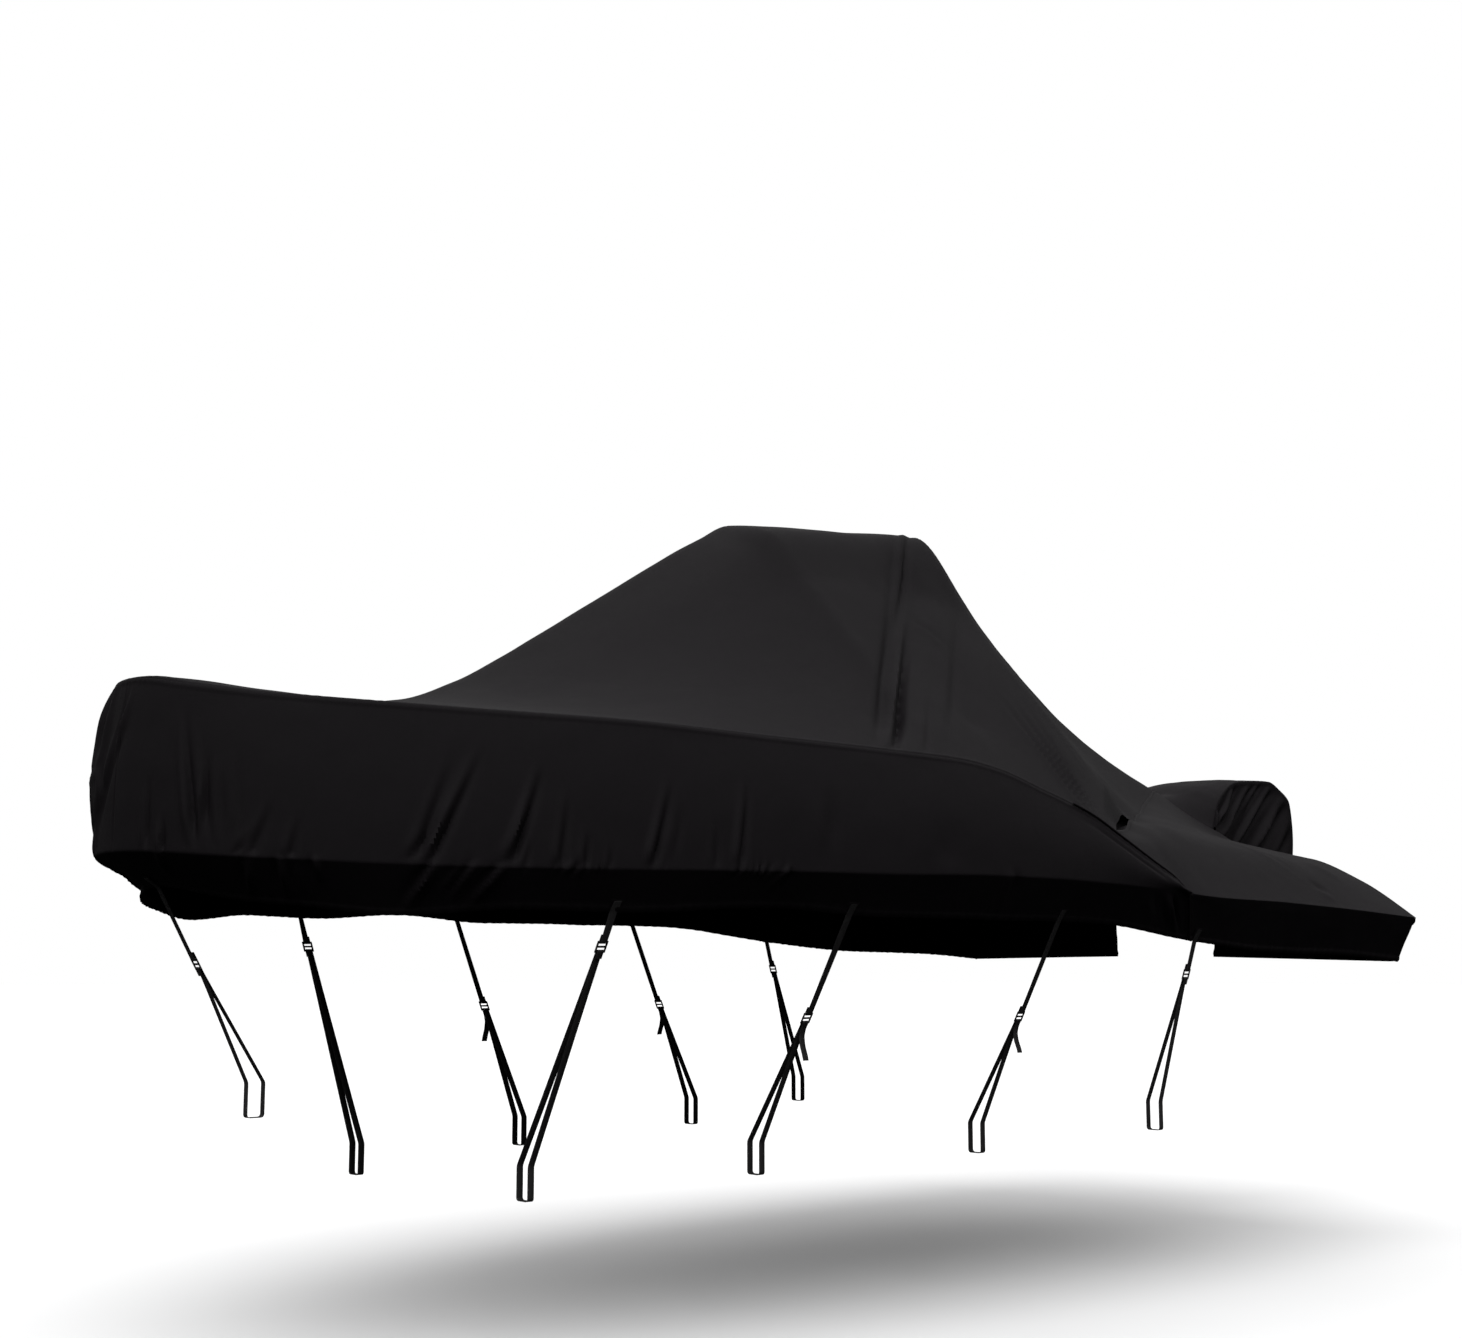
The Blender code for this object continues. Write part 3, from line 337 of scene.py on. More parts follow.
# In the top cloth, in plan: soft troughs, then creases.
TOP_TROUGHS = [
    # station, half, station, half, depth, half-width
    (3.00, 0.42, 2.28, 1.02, 0.030, 0.080),   # hangs from the tent's rear corner
    (3.20, 0.50, 2.75, 0.95, 0.015, 0.070),
    (3.90, 0.74, 3.30, 1.12, 0.034, 0.130),   # the slit at the tent's foot
]
TOP_CREASES = [
    # station, half, station, half, depth, half-width, peak, ridge
    (3.330, 0.145, 2.600, 0.72,  0.022, 0.014, 0.50, 0.7),
    (2.880,  0.54, 2.050, 1.23,  0.036, 0.016, 0.58, 0.2),
    (3.250, 0.152, 2.000, 1.19,  0.018, 0.017, 0.62, 0.2),
    (3.250, 0.201, 2.040, 1.20, -0.014, 0.015, 0.60, 0.0),
    (2.860,  0.54, 2.960, 0.72,  0.006, 0.010, 0.30, 0.7),
    (2.640,  0.86, 2.240, 1.20,  0.006, 0.012, 0.60, 0.6),
    (3.300,  0.42, 2.420, 1.14,  0.006, 0.016, 0.60, 0.6),
    (3.420,  0.16, 4.250, 0.26,  0.009, 0.022, 0.35, 0.6),
    (3.380,  0.30, 4.050, 0.44,  0.009, 0.020, 0.45, 0.7),
    (3.350,  0.52, 3.700, 0.74,  0.008, 0.020, 0.50, 0.7),
    (3.250,  0.62, 3.420, 0.98,  0.008, 0.018, 0.55, 0.8),
    (3.020,  0.80, 3.090, 1.24,  0.010, 0.014, 0.65, 0.9),
    (3.100,  0.80, 3.140, 1.23,  0.010, 0.014, 0.65, 0.9),
    (3.180,  0.80, 3.180, 1.22,  0.010, 0.014, 0.65, 0.9),
    (4.540,  1.16, 4.660, 1.20,  0.010, 0.020, 0.50, 0.6),
    (4.700,  0.98, 4.980, 1.06, -0.010, 0.060, 0.50, 0.0),
    (4.250,  0.75, 4.550, 1.16,  0.006, 0.022, 0.55, 0.7),
]
# The slit at the tent's foot, in shares of its length from the ridge to the spine.
SLIT = {"gap": 0.056, "starts": 0.00, "widest": 0.12, "ends": 0.34}
VALLEY = 0.034              # the cloth falls this much to the seam at the tent's foot
VALLEY_GROWS, VALLEY_FADES = 0.12, 0.35      # shares of the foot, at the ridge and the spine
VALLEY_REACH = 0.10         # and this far onto the deck
SLIT_FACET = (0.06, 0.45)   # over this width of the tent: at the ridge, and its growth
FOOT_BOW = (0.035, 0.75)    # how far the foot's seam bows aft, over this share of its length
FOOT_FADE = 0.35            # and the tent's rows with it, over this length of the ridge
# Below the slit the deck's cloth is folded in: how far it reaches under the tent and under the
# deck, how deep the fold is, how near its edges come to the cloth over them, and where it is.
FOLDED_IN = {"tent": 0.12, "deck": 0.030, "depth": 0.060, "below": 0.006,
             "first": 0.006, "last": 0.37}
FOLDED_IN_STEPS = 70, 24


def joined(*columns):
    return np.stack(columns, axis=-1)


# ---- the surface that every panel lies on, as station, half-width and height ----
def plan(station):
    """The bow's ellipse: 0 at its tip, 1 along the straight sides."""
    ahead = np.clip(1 - station / BOW_LENGTH, 0, 1)
    return np.sqrt(1 - ahead ** 2)


def edge(level, station):
    """Points of the ridge, fold or hem."""
    station = np.asarray(station, float)
    aft = RAKE[level] * np.clip(1 - station / BOW_LENGTH, 0, 1) ** 3
    if level == "hem":
        aft = aft + EDGES["hem_aft"](station)
    half = plan(station) * EDGES[level + "_half"](station)
    return joined(station + aft, half, EDGES[level + "_z"](station))


def through_columns(heights, share):
    """The smooth curve through evenly spaced heights, read at a share of the way."""
    step = 1 / (len(heights) - 1)
    slope = np.diff(heights, axis=0) / step
    fore, aft = slope[:-1], slope[1:]
    mean = 2 * fore * aft / np.where(fore * aft > 0, fore + aft, 1)
    tangent = np.concatenate([slope[:1], np.where(fore * aft > 0, mean, 0), slope[-1:]])
    k = np.clip((share / step).astype(int), 0, len(heights) - 2)
    t = share / step - k

    def at(values, index):
        return np.take_along_axis(values, index[None], axis=0)[0]

    rise = (t * t * (3 - 2 * t)) * (at(heights, k + 1) - at(heights, k))
    bend = step * t * (1 - t) * ((1 - t) * at(tangent, k) - t * at(tangent, k + 1))
    return at(heights, k) + rise + bend


def smooth_step(t):
    t = np.clip(t, 0, 1)
    return t * t * (3 - 2 * t)


def bell(distance, half_width):
    return np.exp(-(distance / half_width) ** 2)


def calm(width, *distances):
    """1 away from edges, fading to 0 over this width beside them."""
    return math.prod(smooth_step(distance / width) for distance in distances)


def grid(rows, columns):
    return np.meshgrid(rows, columns, indexing="ij")


def beside(at, start, end):
    """How far along the line from start to end, as a share, and how far aside in metres."""
    run = np.subtract(end, start)
    length = math.hypot(*run)
    off = at - np.array(start)
    return off @ run / length ** 2, (off[..., 0] * run[1] - off[..., 1] * run[0]) / length, length


def troughs(at, rows):
    depth = np.zeros(at.shape[:-1])
    for x0, y0, x1, y1, deep, width in rows:
        along, aside, length = beside(at, (x0, y0), (x1, y1))
        beyond = (along - np.clip(along, 0, 1)) * length
        depth += deep * np.exp(-(aside ** 2 + beyond ** 2) / width ** 2)
    return depth


RIDGE_ASIDE = 1.6        # half-widths from a crease's trough to its ridge
RIDGE_WIDTH = 1.1


def creases(at, rows):
    """Relief of creases at points of the flat cloth: a trough with a ridge beside it."""
    relief = np.zeros(at.shape[:-1])
    for x0, y0, x1, y1, depth, width, peak, ridge in rows:
        along, aside, _ = beside(at, (x0, y0), (x1, y1))
        fade = np.where(along < peak, smooth_step(along / peak),
                        smooth_step((1 - along) / (1 - peak)))
        lip = aside + math.copysign(RIDGE_ASIDE * width, ridge)
        profile = abs(ridge) * bell(lip, RIDGE_WIDTH * width) - bell(aside, width)
        relief += depth * fade * profile
    return relief


def top_surface(station, half):
    """The top cloth over points of the plan."""
    ridge = edge("ridge", station)
    out = np.clip(half / np.maximum(ridge[..., 1], 1e-6), 0, 1)
    rounded = out * (1 - np.exp(-half / CREST))
    heights = np.stack([TOP[name](station) for name in TOP_COLUMNS] + [ridge[..., 2]])
    z = through_columns(heights, rounded)
    slack = np.minimum(1.0, TAUT_EDGE * (1 - out))
    z = z - slack * troughs(joined(station, half), TOP_TROUGHS)
    return joined(ridge[..., 0], half, z)


def drop(down):
    """Length of cloth from the ridge to a point of the side panel, roughly."""
    return WALL_DROP * np.minimum(down, 1) + SKIRT_DROP * np.maximum(down - 1, 0)


def outward(station):
    ahead = np.clip(1 - station / BOW_LENGTH, 0, 1)
    return joined(-BOW_FLARE * ahead, plan(station), 0 * ahead)


def side_surface(station, down):
    """The side panel: down 0 is the ridge, 1 the fold and 2 the hem."""
    ridge, fold, hem = (edge(level, station) for level in ("ridge", "fold", "hem"))
    wall = np.clip(down, 0, 1)[..., None]
    skirt = np.clip(down - 1, 0, 1)[..., None]
    swell = WALL_BOW * np.sin(np.pi * wall) * outward(station) * (fold[..., 1:2] > 0)
    return ridge + (fold - ridge) * wall + (hem - fold) * skirt + swell


FINE_STEPS = 4000
FINE = LENGTH * np.linspace(0, 1, FINE_STEPS + 1) ** 2


def run_along(level):
    """Length of cloth along an edge from the bow to each of the fine stations."""
    steps = np.linalg.norm(np.diff(edge(level, FINE), axis=0), axis=-1)
    return np.concatenate([[0], np.cumsum(steps)])


RUNS = {level: run_along(level) for level in ("ridge", "fold")}


def arc(station, level="fold"):
    return np.interp(station, FINE, RUNS[level])


def spread(level, first, last, step):
    """Stations an even step apart along an edge."""
    start, end = arc(first, level), arc(last, level)
    count = math.ceil((end - start) / step)
    return np.interp(np.linspace(start, end, count + 1), RUNS[level], FINE)


def placed(points, side="starboard"):
    """From station, half-width and height to the part's own frame. Port is -Y."""
    return (points - (SUPPORT_STATION, 0, TOP["crown"](SUPPORT_STATION))) * (1, SIDES[side], 1)


SEED_STEP = (7.31, 3.17, 5.23)       # how far apart in the noise two seeds lie


def rumple(points, size, seed):
    """Unevenness from -1 to 1 with lumps of the given size, the same on each run."""
    shift = Vector([seed * step for step in SEED_STEP])
    flat = points.reshape(-1, 3) / size
    return np.array([noise.noise(Vector(p) + shift) for p in flat]).reshape(points.shape[:-1])


def lumps(points, cloth):
    return sum(height * rumple(points, size, seed) for height, size, seed in LUMPS[cloth])


# ---- materials ----
class Socket:
    """A node's output. Arithmetic on it adds Math nodes."""

    def __init__(self, finish, output):
        self.finish, self.output = finish, output

    def math(self, operation, *values):
        return self.finish.node("ShaderNodeMath", {"operation": operation},
                                dict(enumerate(values)))

    def __add__(self, other):
        return self.math("ADD", self, other)

    def __sub__(self, other):
        return self.math("SUBTRACT", self, other)

    def __rsub__(self, other):
        return self.math("SUBTRACT", other, self)

    def __mul__(self, other):
        return self.math("MULTIPLY", self, other)

    def __truediv__(self, other):
        return self.math("DIVIDE", self, other)

    def __lt__(self, other):
        return self.math("LESS_THAN", self, other)

    def __abs__(self):
        return self.math("ABSOLUTE", self)

    __radd__, __rmul__ = __add__, __mul__

    def sine(self):
        return self.math("SINE", self)

    def fraction(self):
        return self.math("FRACT", self)


class Finish:
    """A material, with its nodes made one call each."""

    def __init__(self, name, **constants):
        self.name = name
        self.material = bpy.data.materials.new(name)
        self.material.use_nodes = True
        self.tree = self.material.node_tree
        self.shader = self.tree.nodes["Principled BSDF"]
        for socket, value in constants.items():
            self.shader.inputs[socket.replace("_", " ")].default_value = value

    def node(self, kind, settings=(), sockets=(), output=0):
        node = self.tree.nodes.new(kind)
        for name, value in dict(settings).items():
            setattr(node, name, value)
        for key, value in dict(sockets).items():
            self.feed(node.inputs[key], value)
        return Socket(self, node.outputs[output])

    def feed(self, socket, value):
        if isinstance(value, Socket):
            self.tree.links.new(value.output, socket)
        else:
            socket.default_value = value

    def noise(self, scale, detail=2.0, stretch=(1, 1, 1)):
        place = self.node("ShaderNodeTexCoord", output="Object")
        place = self.node("ShaderNodeMapping", {}, {"Vector": place, "Scale": stretch})
        return self.node("ShaderNodeTexNoise", {}, {"Vector": place, "Scale": scale,
                                                    "Detail": detail}, "Fac")

    def pattern(self, name):
        """The two coordinates of a UV map, in metres of cloth."""
        uv = self.node("ShaderNodeUVMap", {"uv_map": name})
        return (self.node("ShaderNodeSeparateXYZ", {}, {0: uv}, k) for k in (0, 1))

    def colours(self, share):
        """Between the material's two colours, by share."""
        low, high = COLOURS[self.name]
        return self.node("ShaderNodeMix", {"data_type": "RGBA"},
                         {0: share, 6: (*low, 1), 7: (*high, 1)}, 2)

    def bumped(self, height, distance, strength=1.0):
        return self.node("ShaderNodeBump", {}, {"Height": height, "Distance": distance,
                                                "Strength": strength}, "Normal")

    def look(self, **sockets):
        """Feeds the shader, and gives back the material."""
        for name, value in sockets.items():
            self.feed(self.shader.inputs[name.replace("_", " ")], value)
        return self.material


COLOURS = {"black_polyester": ((0.0042, 0.0034, 0.0042), (0.0078, 0.0064, 0.0078)),
           "black_piping": ((0.0044, 0.0036, 0.0044), (0.0076, 0.0063, 0.0076)),
           "black_webbing": ((0.0045, 0.0040, 0.0045), (0.016, 0.0145, 0.0155)),
           "black_plastic": ((0.008, 0.007, 0.008), (0.022, 0.020, 0.021)),
           "pale_floor": ((0.86, 0.86, 0.865), (0.90, 0.90, 0.90))}
STITCH_PITCH, STITCH_WIDTH = 0.0046, 0.0011
STITCH_SHARE = 0.74      # of the pitch that shows as thread
SEAM_ROWS, HEM_ROWS = (0.0045, 0.0105), (0.021,)     # how far in the rows of stitches run
THREAD_PITCH, RIB_PITCH, CORD_PITCH = 0.0013, 0.0017, 0.0031


def stitches(finish, name, rows):
    """1 on the threads of the rows of stitches that run beside an edge."""
    along, off = finish.pattern(name)
    dash = (along / STITCH_PITCH).fraction() < STITCH_SHARE
    found = 0.0
    for row in rows:
        found = (abs(off - row) < STITCH_WIDTH / 2) * dash + found
    return found


def wave(coordinate, pitch):
    return (coordinate * (2 * math.pi / pitch)).sine()


def cloth_finish(name):
    """Coated polyester: a fine plain weave, a little uneven in colour and sheen; its stitches are
    painted lighter, a painted sheen of the black thread.
    """
    finish = Finish(name, Metallic=0.0, Specular_IOR_Level=0.09)
    u, v = finish.pattern("weave")
    weave = wave(u, THREAD_PITCH) * wave(v, THREAD_PITCH)
    cloudy = finish.noise(1.7, 3) * 0.6 + finish.noise(11, 2) * 0.4
    fine = finish.noise(160, 2)
    # sewn masks the stitches: it gives them real relief in the bump, and in the colour it paints
    # them lighter as a painted sheen of their black thread.
    sewn = stitches(finish, "seams", SEAM_ROWS) + stitches(finish, "hem", HEM_ROWS)
    drawn = finish.noise(13, 3, (1, 1, 0.22))
    height = weave * 0.35 + fine * 0.8 + sewn * 2.2 + drawn * 7
    return finish.look(
        # sewn * 0.35 paints the stitches lighter: a painted sheen of the black thread, not a
        # thread of another colour.
        Base_Color=finish.colours(cloudy + weave * 0.05 + (fine - 0.5) * 0.25 + sewn * 0.35),
        Roughness=0.60 + cloudy * 0.14 + fine * 0.08,
        Normal=finish.bumped(height, distance=0.00022))


def webbing_finish():
    """Woven webbing: ribs across it, and firm edges."""
    finish = Finish("black_webbing", Metallic=0.0)
    u, v = finish.pattern("weave")
    ribs, cords = wave(v, RIB_PITCH), wave(u, CORD_PITCH)
    worn = finish.noise(30, 3)
    return finish.look(Base_Color=finish.colours(worn * 0.8 + ribs * 0.12 + cords * 0.10),
                       Roughness=0.58 + worn * 0.22,
                       Normal=finish.bumped(ribs * 0.5 + cords * 0.4 + worn * 0.3,
                                            distance=0.0003))


def plastic_finish():
    """Moulded acetal: a fine grain, a little paler where it is rubbed."""
    finish = Finish("black_plastic", Metallic=0.0)
    grain, rubbed = finish.noise(900, 2), finish.noise(60, 3)
    return finish.look(Base_Color=finish.colours(rubbed), Roughness=0.36 + rubbed * 0.22,
                       Normal=finish.bumped(grain, distance=0.00005))


def floor_finish():
    finish = Finish("pale_floor", Roughness=0.9)
    return finish.look(Base_Color=finish.colours(finish.noise(0.8, 2)))


# ---- making cloth ----
def select_only(piece):
    bpy.ops.object.select_all(action="DESELECT")
    piece.select_set(True)
    bpy.context.view_layer.objects.active = piece


SHARP = math.radians(50)


def shape(piece, *modifiers):
    """Applies modifiers, each a kind and its settings, and smooths the piece."""
    select_only(piece)
    for kind, settings in modifiers:
        modifier = piece.modifiers.new(kind.lower(), kind)
        for name, value in settings.items():
            setattr(modifier, name, value)
        bpy.ops.object.modifier_apply(modifier=modifier.name)
    bpy.ops.object.shade_smooth_by_angle(angle=SHARP)


def show(piece, finish, nodes):
    """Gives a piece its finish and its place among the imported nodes."""
    piece.data.materials.clear()
    piece.data.materials.append(finish)
    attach(piece, BODY)
    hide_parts(*nodes)


def add_object(name, mesh):
    piece = bpy.data.objects.new(name, mesh)
    bpy.context.scene.collection.objects.link(piece)
    return piece


def run_lengths(grid, axis):
    """Length of cloth up to each point of a grid, counted along one of its directions."""
    steps = np.linalg.norm(np.diff(grid, axis=axis), axis=-1)
    start = np.zeros_like(np.take(steps, [0], axis=axis))
    return np.concatenate([start, np.cumsum(steps, axis=axis)], axis=axis)


WELD = 0.0001            # grids nearer than this are joined
MIDDLE = 0.00001         # cloth this near to the middle plane stays on it


def with_fine_ends(count, length, ends=(True, True)):
    """Shares from 0 to 1, with finer steps within a sewn edge's width of the ends."""
    fine = EDGE_WIDTH / length
    low, high = fine * ends[0], 1 - fine * ends[1]
    parts = [np.linspace(low, high, count + 1)]
    if ends[0]:
        parts.insert(0, np.linspace(0, low, EDGE_STEPS, endpoint=False))
    if ends[1]:
        parts.append(np.linspace(high, 1, EDGE_STEPS + 1)[1:])
    return np.concatenate(parts)


class Patch:
    """A grid of cloth: its points, how far they stand out, and its patterns in metres."""

    def __init__(self, points, relief, seams=None, hem=None):
        self.points, self.relief = points, relief
        far = (np.ones(points.shape[:-1]),) * 2
        patterns = {"weave": (run_lengths(points, 0), run_lengths(points, 1)),
                    "seams": seams or far, "hem": hem or far}
        self.patterns = {name: joined(*pair) for name, pair in patterns.items()}


def sheet_mesh(name, patches, inside):
    """Joins grids of cloth where they meet, and pushes their relief outward."""
    points, faces, relief, start = [], [], [], 0
    for patch in patches:
        rows, columns = patch.points.shape[:2]
        index = start + np.arange(rows * columns).reshape(rows, columns)
        faces.append(joined(index[:-1, :-1], index[1:, :-1], index[1:, 1:],
                            index[:-1, 1:]).reshape(-1, 4))
        points.append(patch.points.reshape(-1, 3))
        relief.append(patch.relief.reshape(-1))
        start += rows * columns
    mesh = bpy.data.meshes.new(name)
    mesh.from_pydata(np.concatenate(points).tolist(), [], np.concatenate(faces).tolist())
    corners = np.empty(len(mesh.loops), int)
    mesh.loops.foreach_get("vertex_index", corners)
    for pattern in ("weave", "seams", "hem"):
        flat = np.concatenate([patch.patterns[pattern].reshape(-1, 2) for patch in patches])
        layer = mesh.uv_layers.new(name=pattern)
        layer.data.foreach_set("uv", flat[corners].ravel())
    standing = mesh.attributes.new("relief", "FLOAT", "POINT")
    standing.data.foreach_set("value", np.concatenate(relief))

    bm = bmesh.new()
    bm.from_mesh(mesh)
    bmesh.ops.remove_doubles(bm, verts=bm.verts, dist=WELD)
    bmesh.ops.recalc_face_normals(bm, faces=bm.faces)
    facing = sum((f.calc_center_median() - Vector(inside)).dot(f.normal) * f.calc_area()
                 for f in bm.faces)
    if facing < 0:
        bmesh.ops.reverse_faces(bm, faces=bm.faces)
    bm.to_mesh(mesh)
    bm.free()

    count = len(mesh.vertices)
    place, normal, height = np.empty(count * 3), np.empty(count * 3), np.empty(count)
    mesh.vertices.foreach_get("co", place)
    mesh.vertex_normals.foreach_get("vector", normal)
    mesh.attributes["relief"].data.foreach_get("value", height)
    place, normal = place.reshape(-1, 3), normal.reshape(-1, 3)
    normal[np.abs(place[:, 1]) < MIDDLE, 1] = 0
    place += normal * height[:, None]
    mesh.vertices.foreach_set("co", place.ravel())
    mesh.attributes.remove(mesh.attributes["relief"])
    mesh.update()
    return mesh


# Each sheet's node, flat size, area, how it is held, and a point inside it as station and height.
SHEETS = {
    "tent_cloth": ("tent_panel", (2.9, 5.6), 10.8, "draped", (2.6, 0.1)),
    "hood_cap_cloth": ("hood_cap", (0.62, 1.25), 0.60, "draped", (5.5, 0.2)),
    "side_cloth": ("side_panel", (0.75, 4.6), 2.26, "hung", (2.6, 0.1)),
    "aft_cloth": ("aft_panel", (1.6, 2.3), 2.2, "draped", (4.2, -0.1)),
    "hood_gathers": ("hood_side", (0.45, 0.85), 0.30, "gathered", (5.5, 0.2)),
}


def add_sheet(kind, patches, side=None):
    node, flat, area, held, (x, z) = SHEETS[kind]
    ending = "_" + side if side else ""
    inside = placed(np.array((x, 0, z)), side or "starboard")
    piece = add_object(kind + ending, sheet_mesh(kind + ending, patches, inside))
    shape(piece, ("SOLIDIFY", {"thickness": CLOTH, "offset": 1}))
    show(piece, FINISHES["cloth"], [node + ending])


def waves(along, rows):
    return sum(share * np.sin(2 * np.pi * along / length + phase)
               for length, share, phase in rows)


def sewn_edge(distance, along, reach=1.0):
    """Relief of a sewn edge: a low lip, drawn up a little by its stitches."""
    lip = smooth_step(distance / EDGE_SLOPE) * (
        1 - smooth_step((distance - SEAM_BAND) / EDGE_SLOPE))
    drawn = (waves(along, SEW_WAVES) * SEW_WAVE * smooth_step(distance / SEW_WAVE_RISE)
             * bell(distance, SEW_REACH))
    return (SEAM_LIP * lip + drawn) * reach - SEAM_SINK * bell(distance, EDGE_SLOPE)


def hemmed_edge(distance, along):
    """Relief of a hem with a cord in it: a low roll, slightly gathered."""
    roll = np.sin(np.pi * np.clip(distance / HEM_BAND, 0, 1))
    turned = 1 - smooth_step((distance - HEM_BAND + EDGE_SLOPE) / EDGE_SLOPE)
    return (HEM_ROLL * roll + HEM_TURN * turned
            + HEM_WAVE * waves(along, HEM_WAVES) * bell(distance, HEM_REACH))


# ---- the panels ----
def tent_patch():
    fore = spread("ridge", 0, TENT_FINE_FROM, TENT_FORE_STEP)
    aft = spread("ridge", TENT_FINE_FROM, SLIT_STATION, TENT_AFT_STEP)
    shares = with_fine_ends(TENT_ACROSS, TENT_RUN, (False, True))
    start, out = grid(np.concatenate([fore, aft[1:]]), np.concatenate([-shares[:0:-1], shares]))
    share = np.abs(out)
    station = start + (PULL["spine"](start) - start) * (1 - share)
    station += foot_bow(1 - share) * smooth_step(1 - (SLIT_STATION - start) / FOOT_FADE)
    half = edge("ridge", start)[..., 1] * share
    points = top_surface(station, half)
    points[..., 1] *= np.sign(out)
    points = placed(points)
    along = arc(start, "ridge")
    off = run_lengths(points, 1)
    off = np.minimum(off, off[:, -1:] - off)
    runs = run_lengths(points, 0)
    from_foot = runs[-1:] - runs
    free = calm(CALM, off, from_foot)
    relief = creases(joined(station, half), TOP_CREASES) * free
    relief += free * lumps(points, "tent")
    relief += sewn_edge(off, along, beside_welt(start))
    relief[0], relief[-1] = 0, 0
    facet = SLIT_FACET[0] + SLIT_FACET[1] * (1 - share)
    relief -= valley(1 - share) * np.clip(1 - from_foot / facet, 0, 1)
    return Patch(points, relief, seams=(along, off))


def beside_welt(station):
    """How many times as proud as elsewhere a sewn edge is beside the piping."""
    return 1 + (WELT_LIP - 1) * smooth_step((station - WELT_START) / WELT_GROWS)


def foot_bow(share):
    return FOOT_BOW[0] * np.sin(np.pi * np.clip(share / FOOT_BOW[1], 0, 1))


def valley(share):
    return (VALLEY * smooth_step(share / VALLEY_GROWS)
            * smooth_step((1 - share) / VALLEY_FADES))


def slit_opening(share):
    """From 0 to 1: how far the slit is open, at a share of the tent's foot."""
    opens = smooth_step((share - SLIT["starts"]) / (SLIT["widest"] - SLIT["starts"]))
    shuts = smooth_step((SLIT["ends"] - share) / (SLIT["ends"] - SLIT["widest"]))
    return opens * shuts


def hump(t, start, end):
    """1 in the middle of a stretch, fading to 0 over a third of it at each end."""
    return smooth_step(3 * (t - start) / (end - start)) * smooth_step(
        3 * (end - t) / (end - start))


def nose_swell(round_nose, down):
    """Relief of the slack cloth on the nose, and of the skirt that is drawn in below it."""
    from_line = NOSE_SWELL["arc"][0] - round_nose
    from_end = round_nose - NOSE_SWELL["arc"][1]

    def between(fades, stays=0.0):
        return smooth_step(from_line / fades[0]) * smooth_step(from_end / fades[1] + stays)

    swell = (between(NOSE_SWELL["fades"])
             * np.sin(np.pi / 2 * np.clip(down / NOSE_SWELL["rises"], 0, 1))
             * smooth_step((NOSE_SWELL["down"] - down) / NOSE_SWELL["falls"]))
    tuck = (between(NOSE_TUCK["fades"], NOSE_TUCK["stays"])
            * smooth_step((down - NOSE_TUCK["down"]) / NOSE_TUCK["grows"]))
    return NOSE_SWELL["height"] * swell - NOSE_TUCK["depth"] * tuck


def puckers(station, run, below_fold):
    relief = 0.0
    for first, last, pitch, height in PUCKERS:
        within = calm(PUCKER_FADE, station - first, last - station)
        ripple = np.sin(2 * np.pi * (run + PUCKER_SLANT * below_fold) / pitch
                        + PUCKER_SWAY * np.sin(run * PUCKER_SWAY_RATE))
        uneven = PUCKER_EVEN + PUCKER_UNEVEN * np.sin(run * PUCKER_UNEVEN_RATE + 1)
        relief += height * ripple * uneven * within * bell(below_fold, PUCKER_HALF)
    return relief


def on_cloth(rows):
    """Rows of creases with their ends given down the side panel in metres."""
    return [(x0, drop(d0), x1, drop(d1), *rest) for x0, d0, x1, d1, *rest in rows]


def side_patch(side):
    station = spread("fold", 0, SEAM_STATION, SIDE_STEP)
    wall, skirt = FOLD_BAND
    downs = np.concatenate([
        wall * with_fine_ends(WALL_STEPS, wall * WALL_DROP, (True, False))[:-1],
        np.linspace(wall, skirt, FOLD_STEPS, endpoint=False),
        skirt + (2 - skirt) * with_fine_ends(SKIRT_STEPS, (2 - skirt) * SKIRT_DROP,
                                             (False, True))])
    station, down = grid(station, downs)
    down = np.where(station < SEAM_STATION, down, np.maximum(down, TIP_DOWN))
    points = placed(side_surface(station, down), side)

    run, deep = arc(station), drop(down)
    rows = [(arc(s0), d0, arc(s1), d1, *rest) for s0, d0, s1, d1, *rest in SIDE_CREASES]
    relief = creases(joined(run, deep), on_cloth(rows))
    relief = relief * smooth_step(station / TAUT_BOW)
    round_nose = run * (1 if side == "port" else -1)
    nose = creases(joined(round_nose, deep), on_cloth(NOSE_CREASES))
    nose += nose_swell(round_nose, down)
    relief += puckers(station, run, deep - WALL_DROP) + lumps(points, "side")

    lengths = run_lengths(points, 1)
    from_hem = lengths[:, -1:] - lengths
    from_seam = arc(SEAM_STATION) - run
    relief = relief * calm(CALM, lengths, from_seam)
    relief += nose * np.clip(lengths / CALM_NARROW, 0, 1) * calm(CALM_NARROW, from_hem)
    relief -= (SECOND_ROW["depth"] * bell(lengths - SECOND_ROW["down"], SECOND_ROW["half_width"])
               * hump(station, SECOND_ROW["first"], SECOND_ROW["last"]))
    relief += sewn_edge(lengths, run, beside_welt(station))
    relief += sewn_edge(from_seam, deep, WELT_LIP)
    relief += hemmed_edge(from_hem, run) * calm(CALM_NARROW, from_seam)
    relief *= station < SEAM_STATION
    near_end = from_seam < lengths
    seams = np.where(near_end, deep, run), np.where(near_end, from_seam, lengths)
    return Patch(points, relief, seams, (run, from_hem))


def hood_foot(share):
    """The deck's cut-out round the hood, in plan, from its front (0) to the stern (1)."""
    turn = np.minimum(share / HOOD_FRONT, 1) * math.pi / 2
    side_run = LENGTH - SPINE_END - HOOD_SHOULDER
    station = SPINE_END + HOOD_SHOULDER * (1 - np.cos(turn))
    station = station + side_run * np.maximum(0, share - HOOD_FRONT) / (1 - HOOD_FRONT)
    return joined(station, HOOD_HALF * np.sin(turn))


